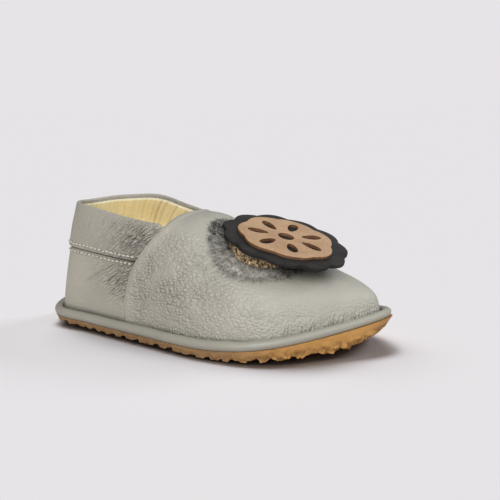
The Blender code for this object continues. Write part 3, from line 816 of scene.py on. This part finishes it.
def makeLining(sizes):
    height = np.linspace(0, sizes["top"], sizes["rows"] + 1)
    grid, run, toEnd = seamGrid(sizes, height, sizes["rows"])
    wander = sum(depth * alongRim(run, *place) for depth, *place in sizes["wander"])
    size = (0.5 + 0.8 * alongRim(run, 11.0, 5, 0)) * (0.4 + 0.9 * bell(toEnd, sizes["pleatReach"]))
    beat = np.sin(np.pi * (run / sizes["pleatPitch"] + 0.8 * wander))
    fullness = sizes["pleat"] * soft(0.35, 0.85, height) * (1 - 0.5 * soft(0.93, 1, height))
    pleat = (size * np.abs(beat) ** 0.7)[:, None] * fullness
    # painted shade in the sharp valleys of the pleats
    fold = (bell(beat, 0.2) * size)[:, None] * soft(0.3, 0.75, height)
    deep = sizes["depth"] + sizes["lowDepth"] * (1 - soft(0.68, 0.8, height))
    deep = deep + sizes["heelDepth"] * (1 - soft(-66, -50, grid[..., 0])) * (1 - soft(0.1, 0.5, height))
    grid = grid - outwardOf(grid) * (deep + pleat)[..., None]
    grid[..., 2] -= sizes["endSink"] * bell(toEnd, sizes["endReach"])[:, None] * soft(0.6, 1, height)
    piece = gridSheet("lining_back", grid, fold=fold)
    thicken(piece, sizes["thickness"])
    finishPiece(piece, [chamoisLook, rimHighlightLook], "chamois", "upper", sharpFrom=60)
    count = len(grid)
    rimTree = BVHTree.FromPolygons([Vector(p) for p in np.concatenate([grid[:, -1], grid[:, -2]])],
                                   [(k, k + 1, k + 1 + count, k + count) for k in range(count - 1)])
    # faces near the rim take the painted highlight
    for face in piece.data.polygons:
        face.material_index = int(rimTree.find_nearest(face.center / mm)[3] < sizes["rimHighlightReach"])
    front = easedVamp(vampSheet, np.linspace(0, last["seamShare"] - 0.004, sizes["frontColumns"]))[:, ::2]
    inside = gridSheet("lining_front", front)
    weld(inside)
    points = pointsOf(inside)
    foot = 1 - soft(2, 10, points[:, 2] - soleTopZ(points[:, 0]))
    pushOut(inside, -sizes["frontDepth"] - sizes["frontFoot"] * foot)
    thicken(inside, sizes["thickness"])
    finishPiece(inside, [chamoisLook], "chamois", "upper", sharpFrom=60)


makeLining(liningSheet)
print("lining gathered")


# slabs cut to the sole outline: rows across the foot, closing up at toe and heel

def slabPiece(name, sizes, bottomInset, topInset, bottomZ, topZ):
    spread = np.sin(np.linspace(-math.pi / 2, math.pi / 2, sizes["rows"] + 1))
    share = np.linspace(0, 1, sizes["across"] + 1)
    heelTip, toeTip = edges[lateral][1][[-1, 0], 0]
    levels = []
    for insetAt, heightAt, across in ((bottomInset, bottomZ, share), (topInset, topZ, share[::-1])):
        heel, toe = heelTip, toeTip
        for _ in range(3):
            heel, toe = heelTip + insetAt(heel), toeTip - insetAt(toe)
        x = (heel + toe) / 2 + (toe - heel) / 2 * spread
        near, far = (edgeY(side, x, insetAt(x))[:, None] for side in (lateral, medial))
        for end in (0, -1):  # both sides meet in one point
            near[end] = far[end] = (near[end] + far[end]) / 2
        y = near + (far - near) * across
        z = heightAt(x[:, None], across[None, :])
        levels.append(np.stack([np.broadcast_to(x[:, None], y.shape), y, z], axis=-1))
    low, high = levels
    step = np.linspace(0, 1, sizes["sides"] + 1)[1:-1][None, :, None]
    farSide = low[:, -1:] + (high[:, :1] - low[:, -1:]) * step
    nearSide = high[:, -1:] + (low[:, :1] - high[:, -1:]) * step
    piece = gridSheet(name, np.concatenate([low, farSide, high, nearSide, low[:, :1]], axis=1))
    weld(piece, closed=True, distance=0.02)
    return piece


# outsole: gum rubber with zigzag bars, edges worn uneven

treadBars = {
    "rows": 460, "across": 72, "sides": 8, "inset": 1.0, "toeLip": 1.0, "pitch": 6.2, "first": -66.0,
    "count": 21, "depth": 1.5, "zigzag": 2.0, "zigzagFade": 18.6, "turns": (0, -1, 1, -1, 1, -1, 0),
    "endGroove": 0.4, "steep": 0.6, "slow": 1.8,  # the last two are lengths of a bar's front and back
    "shift": (-1.3, 1.3), "land": (1.6, 4.2), "worn": (0.3, 0.85),  # ranges that each bar draws from
    # how far the edge is worn up off the floor, along the length
    "edgeLift": ((-75, -58, -35, -12, 0, 20, 45, 75), (1.2, 1.7, 1.15, 1.1, 1.2, 0.6, 0.2, 0.4)),
    "tipLift": 2.4, "crumb": 0.5, "crumbFrom": (10, 50), "crepe": 0.17,
    "crepeWaves": ((1.0, 2.2, 0.0), (0.7, 1.1, 4.0)), "pitShade": 1.9, "pitShadeMost": 0.85,
    "paintedToeLight": 0.62, "paintedToeLightFrom": (24, 58),  # painted light: the gum is painted brighter towards the toe, which faces up into the light
}
gumLook = mottledLook("gum rubber", {
    "rough": 0.6, "shine": 0.35, "fine": (900.0, 4.0), "fineRough": 0.65, "broad": (0.6, 90.0, 4.0),
    "range": (0.36, 0.64), "colours": ((0.21, 0.117, 0.052), (0.315, 0.183, 0.08)), "bump": (0.5, 0.0004),
    "paintedLightAndShade": [("paintedToeLight", 1.0, (0.58, 0.285, 0.068)), ("pitShade", 1.0, (0.12, 0.058, 0.021))]})


def makeOutsole(sizes):
    half = sole["length"] / 2
    bars = (2, sizes["count"] + 1)
    shift, land, deep = (rng.uniform(*sizes[name], bars) for name in ("shift", "land", "worn"))

    def bottomZ(x, share):
        room = np.clip((half - np.abs(x)) / sizes["zigzagFade"], 0, 1)
        zig = np.interp(share * (len(sizes["turns"]) - 1), range(len(sizes["turns"])), sizes["turns"])
        place = x - sizes["zigzag"] * room * zig - sizes["first"]
        bar = np.clip(np.floor(place / sizes["pitch"]), 0, sizes["count"]).astype(int)
        side = (share > 0.5).astype(int) + 0 * bar
        edge = np.abs(share - 0.5) * 2 + 0 * x
        # each bar comes out at the edge at its own place, with a steep face and a slow back
        p = place - bar * sizes["pitch"] + shift[side, bar] * soft(0.5, 0.9, edge)
        block = soft(0, sizes["steep"], p) * (1 - soft(0, sizes["slow"], p - land[side, bar]))
        inside = (place > 0) & (place < sizes["count"] * sizes["pitch"])
        groove = np.where(inside, sizes["depth"] * deep[side, bar] * (1 - block), sizes["endGroove"])
        lift = np.interp(x, *sizes["edgeLift"]) * soft(0.66, 1, edge) ** 1.4
        return treadZ(x) + groove + lift + sizes["tipLift"] * rising(x, sole["toeRollStart"])

    def topZ(x, share):
        return soleTopZ(x) + 0 * share

    piece = slabPiece("gum_outsole", sizes, lambda x: sizes["inset"] + 0 * x,
                      lambda x: -sizes["toeLip"] * rising(x, sole["springStart"]), bottomZ, topZ)
    points, normals = pointsOf(piece), normalsOf(piece)
    x, z, ceiling = points[:, 0], points[:, 2], soleTopZ(points[:, 0])
    side = 1 - np.abs(normals[:, 2])
    rough = sizes["crepe"] * waves(points, sizes["crepeWaves"]) * (0.5 + 0.5 * side)
    # torn-looking crumbs under the toe and along the lower edge
    low = soft(0.2, 0.75, (ceiling - z) / (ceiling - treadZ(x)))
    torn = ridged(points * (1, 0.6, 1.5), 2.8, 2.0) + 0.7 * ridged(points, 1.3, 6.0) - 0.75
    torn *= sizes["crumb"] * low * (0.4 + 0.8 * soft(*sizes["crumbFrom"], x))
    # painted shade: the torn pits are painted darker
    mark(piece, "pitShade", np.clip(sizes["pitShade"] * torn, 0, sizes["pitShadeMost"]))
    # painted light, brighter and more orange towards the toe
    mark(piece, "paintedToeLight", sizes["paintedToeLight"] * soft(*sizes["paintedToeLightFrom"], x))
    moved = points + normals * (rough - torn)[:, None]
    top = z > ceiling - 0.3
    moved[top] = points[top]
    moved[:, 2] = np.maximum(moved[:, 2], 0.0)
    putPoints(piece, moved)
    finishPiece(piece, [gumLook], "gum_rubber", "outsole", sharpFrom=50)


makeOutsole(treadBars)
print("outsole cut")


# insole: loose chamois-covered board

insoleBoard = {
    "rows": 150, "across": 24, "sides": 4, "inset": 6.4, "thickness": 2.0, "cup": 0.8, "edgeRound": 0.4,
    "waves": ((0.12, 6.0, 0.0),), "wavesAbove": 1.5,
}


def makeInsole(sizes):
    def insetAt(x):
        return sizes["inset"] + 0 * x

    def bottomZ(x, share):
        return soleTopZ(x) + sole["gap"] + 0 * share

    def topZ(x, share):
        return bottomZ(x, share) + sizes["thickness"] + sizes["cup"] * (2 * share - 1) ** 2

    piece = slabPiece("insole_board", sizes, insetAt, insetAt, bottomZ, topZ)
    points = pointsOf(piece)
    upper = points[:, 2] > soleTopZ(points[:, 0]) + sizes["wavesAbove"]
    points[:, 2] += np.where(upper, waves(points, sizes["waves"]), 0)
    putPoints(piece, points)
    bevel(piece, sizes["edgeRound"], 2)
    finishPiece(piece, [chamoisLook], "chamois", "insole", sharpFrom=50)


makeInsole(insoleBoard)
print("insole laid in")


# welt: rolled leather strip round the sole edge

weltRoll = {
    "columns": 420, "points": 30, "wobble": 0.14, "wobbleSize": 8.0, "seat": 0.05, "stretch": 1.05,
    "grain": 0.35, "grime": 0.75, "grimeFrom": (2.4, 3.2),
    # inset from the sole edge, height above the outsole
    "section": [(0.3, 0.0), (-0.3, 0.7), (-0.5, 1.6), (-0.2, 2.5), (0.7, 3.2), (1.8, 3.4), (2.9, 3.1),
                (3.7, 2.2), (4.0, 0.0)],
}


def makeWelt(sizes):
    corners = np.array(sizes["section"])
    ring = np.vstack([corners[-2:], corners, corners[:3]])
    knots = np.concatenate([[0], np.cumsum(np.linalg.norm(np.diff(ring, axis=0), axis=1) ** 0.5)])
    section = smooth(np.linspace(knots[2], knots[2 + len(corners)], sizes["points"] + 1), knots, ring)
    section[:, 1] = np.clip(section[:, 1], 0, None)
    half = np.linspace(0, 1, sizes["columns"] // 2 + 1)
    loops = []
    for inset, height in section:
        xy = np.vstack([edgeAt(lateral, half, inset), edgeAt(medial, half[-2::-1], inset)])
        loops.append(np.column_stack([xy, soleTopZ(xy[:, 0]) + sizes["seat"] + height * sizes["stretch"]]))
    # painted shade on the welt's inner shoulder, under the vamp's edge
    piece = gridSheet("rolled_welt", np.stack(loops, axis=1), grain=sizes["grain"],
                      grime=sizes["grime"] * soft(*sizes["grimeFrom"], section[:, 0]))
    weld(piece, closed=True)
    points = pointsOf(piece)
    lift = points[:, 2] - soleTopZ(points[:, 0]) - sole["gap"]
    wobble = sizes["wobble"] * speckle(points, sizes["wobbleSize"], 2.0)
    pushOut(piece, wobble * soft(0.3, 1.2, lift))
    finishPiece(piece, [weltLook], "welt_leather", "welt", sharpFrom=60)


makeWelt(weltRoll)
print("welt rolled")


# stitches, one short grain-shaped loop copied along both rows

threadLook = mottledLook("pale thread", {
    "rough": 0.75, "shine": 0.3, "fine": (1500.0, 2.0), "range": (0.0, 1.0),
    "colours": ((0.33, 0.307, 0.257), (0.56, 0.525, 0.45))})


def makeStitches(sizes):
    bpy.ops.object.select_all(action="DESELECT")
    bpy.ops.mesh.primitive_uv_sphere_add(segments=8, ring_count=6, radius=1)
    stamp = bpy.context.active_object
    shape = pointsOf(stamp) * mm * (sizes["radius"], sizes["radius"], sizes["length"] / 2)
    shapeFaces = [tuple(f.vertices) for f in stamp.data.polygons]
    bpy.data.objects.remove(stamp)
    points, faces = [], []
    for height, lift in zip(sizes["rows"], sizes["lift"]):
        ribbon = height + sizes["ribbon"] * np.array([-1, 0, 1])
        grid = backGrid(last["seamShare"] + sizes["fromSeam"], sizes["columns"], ribbon)
        out = outwardOf(grid)[:, 1]
        line = grid[:, 1] + out * lift
        run = running(line)
        for at in np.arange(sizes["first"], run[-1] - 1, sizes["pitch"]):
            place, ahead, normal = (np.array([np.interp(at + step, run, a[:, k]) for k in range(3)])
                                    for step, a in ((0, line), (sizes["ahead"], line), (0, out)))
            way = unit(ahead - place + rng.normal(0, sizes["skew"], 3))
            side = np.cross(normal, way)
            long, off = rng.uniform(*sizes["lengthRange"]), rng.normal(0, sizes["stray"])
            turned = shape[:, :1] * side + shape[:, 1:2] * np.cross(way, side) + shape[:, 2:] * way * long
            first = sum(map(len, points))
            points.append(place + turned + side * off)
            faces += [tuple(first + i for i in face) for face in shapeFaces]
    piece = meshPiece("band_stitches", np.vstack(points), faces)
    finishPiece(piece, [threadLook], "band_leather", sharpFrom=180)


makeStitches(seamStitch)
print("stitches sewn")


# badge and its touch-close patches, on a plane over the vamp

badge = {
    "centre": Vector((35.4, 1.6, 40.6)), "normal": Vector((0.286, -0.095, 0.953)).normalized(),
    "length": 51.0, "width": 49.0, "scallops": 11, "scallopDepth": 0.07, "baseThick": 1.5, "baseRound": 0.3,
    "faceThick": 1.2, "faceRound": 0.2, "faceShare": 0.76, "faceGap": 0.02, "petals": 7, "petalInner": 0.36,
    "petalOuter": 0.80, "petalRoot": 0.046, "petalSpread": 0.104, "petalPoints": 22, "eye": 0.17,
    "eyePoints": 28, "baseLobe": 20, "faceLobe": 26, "baseRings": 14, "faceRings": 12,  # points and rings
    "droop": 0.5, "droopFrom": (10, 27), "uneven": 0.22, "unevenSize": 9.0, "cutFrom": -2.0, "cutDepth": 8.0,
    "singed": 0.35,  # a face that leans further than this is a cut side
}
badgeAlong = (Vector((1, 0, 0)) - badge["normal"].x * badge["normal"]).normalized()
badgeAcross = badge["normal"].cross(badgeAlong)
badgeFrame = np.array([badgeAlong, badgeAcross, badge["normal"]])
badgeHalf = np.array((badge["length"], badge["width"])) / 2


def fromBadge(flat):  # points in the badge plane, with height over it, to shoe places
    return np.array(badge["centre"]) + np.asarray(flat) @ badgeFrame


vampFaces = [tuple(f.vertices) for f in vamp.data.polygons]
vampTree = BVHTree.FromPolygons([Vector(p) for p in pointsOf(vamp)], vampFaces)


def onVamp(a, b):  # height of the vamp below the badge plane, and its normal
    hit, normal, _, _ = vampTree.ray_cast(Vector(fromBadge((a, b, 120.0))), -badge["normal"])
    return (hit - badge["centre"]).dot(badge["normal"]), normal


def overVamp(a, b, lift):  # the same height for a place lifted off the vamp
    level, normal = onVamp(a, b)
    return level + lift / max(normal.dot(badge["normal"]), 0.4)


def turnsOf(count):
    return np.linspace(0, 2 * math.pi, count, endpoint=False)


def platePiece(name, outline, thickness, radial, edgeRound, warp):
    # points from the middle of the top over the edge to the middle of the underside, one column a turn
    bit = 0.3 * edgeRound
    rim = [(-edgeRound, 0), (-bit, -bit), (0, -edgeRound), (0, -thickness / 2),
           (0, edgeRound - thickness), (-bit, bit - thickness), (-edgeRound, -thickness)]
    columns = []
    for a, b in np.vstack([outline, outline[:1]]):
        reach = math.hypot(a, b)
        line = [(s * (1 - edgeRound / reach), 0.0) for s in np.linspace(0, 1, radial)[:-1]]
        line += [(1 + back / reach, drop) for back, drop in rim]
        line += [(s * (1 - edgeRound / reach), -thickness) for s in np.linspace(1, 0, radial)[1:]]
        columns.append([(s * a, s * b, thickness + z + warp(s * a, s * b)) for s, z in line])
    piece = gridSheet(name, fromBadge(columns))
    weld(piece, closed=True)
    return piece


def scallops(share, lobes, perLobe):
    turns = turnsOf(perLobe * lobes)
    reach = share * (1 - badge["scallopDepth"] * (1 - np.abs(np.cos(lobes * turns / 2))))
    return np.column_stack([reach * np.cos(turns), reach * np.sin(turns)]) * badgeHalf


def baseWarp(a, b):  # the free front edge hangs a little, the rest is not quite flat
    uneven = noise.noise(Vector((a / badge["unevenSize"], b / badge["unevenSize"], 1.3)))
    return -badge["droop"] * soft(*badge["droopFrom"], a) + badge["uneven"] * uneven


def blackLook():
    made, tree, shader = newLook("black leather", 0.55, Specular_IOR_Level=0.15)
    place = wire(tree, "TexCoord", 3)
    grain = wire(tree, "TexVoronoi", feature="DISTANCE_TO_EDGE", Vector=place, Scale=1300.0)
    dust = ranged(tree, noiseAt(tree, 160.0, 4.0), 0.4, 0.75)
    dress(tree, shader, shade(tree, dust, (0.010, 0.009, 0.0085), (0.023, 0.020, 0.019)), grain, 0.35, 0.0003)
    return made


blackLayer = platePiece("badge_black_layer", scallops(1.0, badge["scallops"], badge["baseLobe"]),
                        badge["baseThick"], badge["baseRings"], badge["baseRound"], baseWarp)
finishPiece(blackLayer, [blackLook()], "black_leather", "badge_base", sharpFrom=50)

tanLeather = {
    "rough": 0.58, "shine": 0.35, "fine": (700.0, 4.0), "broad": (0.6, 110.0, 3.0), "range": (0.38, 0.62),
    "bump": (0.25, 0.0003),
}
tanLooks = [mottledLook(name, {**tanLeather, "colours": colours}) for name, colours in (
    ("tan leather", ((0.318, 0.186, 0.099), (0.41, 0.255, 0.148))),
    ("singed tan edge", ((0.10, 0.045, 0.02), (0.20, 0.095, 0.04))))]


def cutter(outline):  # a prism through the badge face
    bpy.ops.object.select_all(action="DESELECT")
    bpy.ops.mesh.primitive_circle_add(vertices=len(outline), radius=1, fill_type="NGON")
    piece = bpy.context.active_object
    putPoints(piece, fromBadge(np.column_stack([outline, np.full(len(outline), badge["cutFrom"])])))
    rise = {"value": badge["normal"] * badge["cutDepth"] * mm}
    edit(piece, (bpy.ops.mesh.extrude_region_move, {"TRANSFORM_OT_translate": rise}), faceOut)
    return piece


def petal(turn):
    t = turnsOf(badge["petalPoints"])
    inner, outer = badge["petalInner"], badge["petalOuter"]
    reach = (inner + outer) / 2 - (outer - inner) / 2 * np.cos(t)
    side = np.sin(t) * (badge["petalRoot"] + badge["petalSpread"] * reach)
    return np.column_stack([reach * math.cos(turn) - side * math.sin(turn),
                            reach * math.sin(turn) + side * math.cos(turn)])


def makeBadgeFace():
    lift = badge["baseThick"] + badge["faceGap"]
    outline = scallops(badge["faceShare"], badge["petals"], badge["faceLobe"])
    piece = platePiece("badge_tan_layer", outline, badge["faceThick"], badge["faceRings"],
                       badge["faceRound"], lambda a, b: baseWarp(a, b) + lift)
    turns = turnsOf(badge["eyePoints"])
    holes = [np.column_stack([np.cos(turns), np.sin(turns)]) * badge["eye"]]
    holes += [petal(turn) for turn in turnsOf(badge["petals"])]
    for hole in holes:
        tool = cutter(hole * badgeHalf * badge["faceShare"])
        modify(piece, "BOOLEAN", object=tool, operation="DIFFERENCE", solver="EXACT")
        bpy.data.objects.remove(tool)
    finishPiece(piece, tanLooks, "tan_leather", "badge_face", sharpFrom=35)
    for face in piece.data.polygons:  # the cut sides are singed
        face.material_index = int(abs(face.normal.dot(badge["normal"])) < badge["singed"])


makeBadgeFace()
print("badge layers cut")


def fibres(name, roots, ways, lengths, thick, sag):  # tapered three-sided hairs, joined
    roots, ways, lengths = np.array(roots), np.array(ways), np.array(lengths)[:, None]
    count, rings = len(roots), 3
    side = np.cross(ways, rng.normal(0, 1, (count, 3)))
    side /= np.linalg.norm(side, axis=1)[:, None]
    other = np.cross(ways, side)
    drop = np.array([0, 0, -sag])
    size = rings * 3 + 1
    points = np.zeros((count, size, 3))
    for ring in range(rings):
        t = ring / rings
        centre = roots + ways * (lengths * t) + drop * (lengths * t * t)
        for k in range(3):
            turn = 2 * math.pi * k / 3
            across = side * math.cos(turn) + other * math.sin(turn)
            points[:, ring * 3 + k] = centre + across * thick * (1 - 0.6 * t)
    points[:, -1] = roots + ways * lengths + drop * lengths
    faces = [(2, 1, 0)]
    for low in range(0, (rings - 1) * 3, 3):
        faces += [(low + k, low + (k + 1) % 3, low + 3 + (k + 1) % 3, low + 3 + k) for k in range(3)]
    faces += [(size - 4 + k, size - 4 + (k + 1) % 3, size - 1) for k in range(3)]
    allFaces = [tuple(n * size + i for i in face) for n in range(count) for face in faces]
    return meshPiece(name, points.reshape(-1, 3), allFaces)


def around(sizes, reach, turn):  # a place in the badge plane, round the patch's centre
    return sizes["centre"][0] + reach * math.cos(turn), sizes["centre"][1] + reach * math.sin(turn)


# loop patch: felt disc on the vamp with long soft fuzz

loopPatch = {
    "radius": 19.0, "centre": (-8.6, -4.6), "seat": 0.2, "thickness": 0.4, "rings": 14, "spokes": 96,
    "hairs": 6400, "hairLength": 2.6, "hairThick": 0.105, "hairSag": 0.25, "hairRoot": 0.25,
    "hairReach": (0.2, 1.12), "hairUp": (0.25, 0.8), "hairSpread": 0.45, "hairRange": (0.45, 1.1),
}


def fuzzLook():
    made, tree, shader = newLook("grey fuzz", 0.9, Specular_IOR_Level=0.15)
    mottle = ranged(tree, noiseAt(tree, 500.0, 3.0), 0.3, 0.7, To_Min=-0.25, To_Max=0.25)
    # the marked tone carries painted shade and light as well as the fuzz's own tone
    toneAndShade = plus(tree, markIn(tree, "toneAndShade"), mottle)
    dress(tree, shader, shade(tree, toneAndShade, (0.03, 0.0285, 0.027), (0.46, 0.44, 0.39)))
    return made


def paintedLightBorder(turn):  # painted light: the fuzz is painted pale at its lower border, out of the badge's shadow
    return soft(0.2, 0.9, -np.sin(turn)) * soft(-1.0, 0.3, np.cos(turn) + 0.35)


def makeLoopPatch(sizes):
    fuzz = fuzzLook()
    grid = []
    for spoke in range(sizes["spokes"] + 1):
        turn = 2 * math.pi * spoke / sizes["spokes"]
        spots = []
        for share in np.arange(sizes["rings"] + 1) / sizes["rings"]:
            thick = sizes["seat"] + sizes["thickness"] * (1 - 0.8 * share ** 6)
            spots.append((*around(sizes, sizes["radius"] * share, turn), thick))
        spots += [(a, b, 0.5 * sizes["seat"]) for a, b, _ in spots[::-1]]
        grid.append([(a, b, overVamp(a, b, lift)) for a, b, lift in spots])
    piece = gridSheet("loop_felt", fromBadge(grid))
    weld(piece, closed=True)
    flat = ((pointsOf(piece) - np.array(badge["centre"])) @ badgeFrame.T)[:, :2] - sizes["centre"]
    pale = paintedLightBorder(np.arctan2(flat[:, 1], flat[:, 0]))
    far = np.linalg.norm(flat, axis=1) / sizes["radius"]
    # painted shade: the felt is dark in towards the badge, whose shadow falls there; painted light pales its
    # lower border
    mark(piece, "toneAndShade", 0.02 + (0.11 + 0.71 * pale) * soft(0.55, 0.95, far))
    finishPiece(piece, [fuzz], "loop_felt", "loop_patch", sharpFrom=50)
    count = sizes["hairs"]
    reach = np.sqrt(rng.uniform(*sizes["hairReach"], count))
    turns = rng.uniform(0, 2 * math.pi, count)
    roots, ways, hairTonesAndShade, lengths = [], [], [], []
    for r, t in zip(reach, turns):
        a, b = around(sizes, sizes["radius"] * r, t)
        level, normal = onVamp(a, b)
        normal = np.array(normal)
        roots.append(fromBadge((a, b, level)) + normal * sizes["hairRoot"])
        outward = np.array((math.cos(t), math.sin(t), 0)) @ badgeFrame
        flat = outward - normal * outward.dot(normal)
        upright = normal * rng.uniform(*sizes["hairUp"])
        ways.append(unit(flat * (0.3 + 0.9 * r) + upright + rng.normal(0, sizes["hairSpread"], 3)))
        lengths.append(sizes["hairLength"] * rng.uniform(*sizes["hairRange"]) * (0.75 + 0.35 * r))
        # painted shade and light: most hairs are dark in towards the badge, where its shadow falls, and pale
        # at the lower border; the rest are light at random
        pale = paintedLightBorder(t) * soft(0.45, 0.85, r)
        border = soft(0.6, 1.0, r)
        if rng.uniform() < 0.9 - 0.2 * border - 0.7 * pale:
            hairTonesAndShade.append(rng.uniform(0.0, 0.1) + 0.06 * border + 0.56 * pale)
        else:
            hairTonesAndShade.append(rng.uniform(0.55, 1.0))
    hair = fibres("loop_fuzz", roots, ways, lengths, sizes["hairThick"], sizes["hairSag"])
    mark(hair, "toneAndShade", np.repeat(hairTonesAndShade, len(hair.data.vertices) // count))
    finishPiece(hair, [fuzz], "loop_felt")


makeLoopPatch(loopPatch)
print("loop patch fuzzed")


# hook patch: gold-brown tape between fuzz and badge, bristling at its edge

hookPatch = {
    "radius": 13.0, "centre": (-6.0, -5.6), "seat": 1.0, "spokes": 120, "rows": 10, "rings": 8, "hooks": 4200,
    "hookLength": 1.0, "hookThick": 0.12, "hookSag": 0.3, "hookSpread": 0.5, "hookStray": (-0.4, 0.4),
    "hookRange": (0.5, 1.1),
}
# painted glints: noise lays bright gold spots over a dark brown tape
goldLook = mottledLook("gold hook tape", {
    "rough": 0.42, "shine": 0.5, "fine": (950.0, 2.0), "range": (0.42, 0.66),
    "colours": ((0.085, 0.046, 0.018), (0.95, 0.74, 0.45)), "bump": (0.6, 0.0004)})


def makeHookPatch(sizes):
    grid, rims = [], []
    for spoke in range(sizes["spokes"] + 1):
        turn = 2 * math.pi * spoke / sizes["spokes"]
        a, b = around(sizes, sizes["radius"], turn)
        low = overVamp(a, b, sizes["seat"])
        high = -sole["gap"] + min(0, baseWarp(a, b))
        rims.append((a, b, low, high, turn))
        line = [(*sizes["centre"], high)]
        line += [(a, b, high + (low - high) * t) for t in np.linspace(0, 1, sizes["rows"])]
        under = [around(sizes, sizes["radius"] * s, turn) for s in np.linspace(1, 0, sizes["rings"])[1:]]
        grid.append(line + [(c, d, overVamp(c, d, sizes["seat"])) for c, d in under])
    piece = gridSheet("hook_tape_body", fromBadge(grid))
    weld(piece, closed=True)
    finishPiece(piece, [goldLook], "hook_tape", "hook_patch", sharpFrom=50)
    roots, ways = [], []
    for spoke in rng.integers(0, sizes["spokes"], sizes["hooks"]):
        a, b, low, high, turn = rims[spoke]
        out = np.array((math.cos(turn), math.sin(turn), 0)) @ badgeFrame
        sideways = np.array((-math.sin(turn), math.cos(turn), 0)) @ badgeFrame
        root = fromBadge((a, b, low + (high - low) * rng.uniform(0.05, 0.95)))
        roots.append(root + sideways * rng.uniform(*sizes["hookStray"]))
        ways.append(unit(out + rng.normal(0, sizes["hookSpread"], 3)))
    lengths = sizes["hookLength"] * rng.uniform(*sizes["hookRange"], sizes["hooks"])
    hooks = fibres("hook_bristles", roots, ways, lengths, sizes["hookThick"], sizes["hookSag"])
    finishPiece(hooks, [goldLook], "hook_tape")


makeHookPatch(hookPatch)
print("hook tape bristled")


# camera at the photo's angle, soft studio light and a pale floor

shot = {
    "azimuth": 29.72, "elevation": 9.86, "roll": -0.58, "eye": (185.09, -288.1, 94.48), "lens": 60.67,
    "sensor": 36, "nearest": 0.01, "floorSize": 60,
    "floor": (0.765, 0.744, 0.765), "sky": (0.07, 0.07, 0.07), "behind": (0.80, 0.775, 0.80),
    # name, energy, spread and turn of each lamp that lights only the shoe
    "lights": (("fill", 2.85, 40, (58, 0, 14)), ("top", 0.7, 140, (0, 25, 0)),
               ("toe side", 1.1, 50, (52, 0, 92)), ("far side", 0.95, 100, (-55, 0, -25))),
    "tint": {"toe side": (0.82, 0.94, 1.0)},
    # tilt back, tilt along the shoe and energy of each lamp of the strip
    "strip": ((-45, 40, 0.8), (-25, -10, 0.7), (-15, -20, 0.8),
              (-10, -45, 0.3), (-10, -20, 0.9), (0, -45, 0.3)),
    "stripSpread": 24,
}


def setShot(sizes):
    a, e, r = (math.radians(sizes[name]) for name in ("azimuth", "elevation", "roll"))
    back = Vector((math.sin(a) * math.cos(e), -math.cos(a) * math.cos(e), math.sin(e)))
    right = Vector((math.cos(a), math.sin(a), 0))
    up = back.cross(right)
    rolled = math.cos(r) * right + math.sin(r) * up
    upright = -math.sin(r) * right + math.cos(r) * up
    bpy.ops.object.camera_add()
    camera = bpy.context.active_object
    place = Matrix((rolled, upright, back)).transposed().to_4x4()
    place.translation = Vector(sizes["eye"]) * mm
    camera.matrix_world = place
    camera.data.lens, camera.data.sensor_width = sizes["lens"], sizes["sensor"]
    camera.data.clip_start = sizes["nearest"]
    bpy.context.scene.camera = camera
    bpy.ops.object.select_all(action="DESELECT")
    bpy.ops.mesh.primitive_plane_add(size=sizes["floorSize"])
    floor = bpy.context.active_object
    floor.name = "floor"
    paleFloor = newLook("pale floor", 0.95, Specular_IOR_Level=0.0, Base_Color=(*sizes["floor"], 1))[0]
    floor.data.materials.append(paleFloor)
    floor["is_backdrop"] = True
    # a long strip behind the shoe only throws the shadow on the floor, the others only light the shoe
    groups = {"shoe": bpy.data.collections.new("lit shoe"), "floor": bpy.data.collections.new("lit floor")}
    groups["floor"].objects.link(floor)
    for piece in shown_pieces():
        groups["shoe"].objects.link(piece)
    lights = [(*light, "shoe") for light in sizes["lights"]]
    lights += [("strip", energy, sizes["stripSpread"], (tilt, along, 0), "floor")
               for tilt, along, energy in sizes["strip"]]
    for name, energy, spread, turn, group in lights:
        bpy.ops.object.light_add(type="SUN", rotation=[math.radians(v) for v in turn])
        light = bpy.context.active_object
        light.name, light.data.energy, light.data.angle = name, energy, math.radians(spread)
        light.data.color = sizes["tint"].get(name, (1, 1, 1))
        light.light_linking.receiver_collection = groups[group]
    world = bpy.data.worlds.new("studio")
    bpy.context.scene.world = world
    world.use_nodes = True
    tree = world.node_tree
    tree.nodes["Background"].inputs["Color"].default_value = (*sizes["sky"], 1)
    seen = wire(tree, "Background", Color=(*sizes["behind"], 1))  # what the camera sees behind the shoe
    mix = wire(tree, "MixShader", i0=wire(tree, "LightPath"), i1=tree.nodes["Background"].outputs[0], i2=seen)
    tree.links.new(mix, tree.nodes["World Output"].inputs["Surface"])
    bpy.context.scene.view_settings.view_transform = "Standard"


setShot(shot)
print("camera, light and floor set")
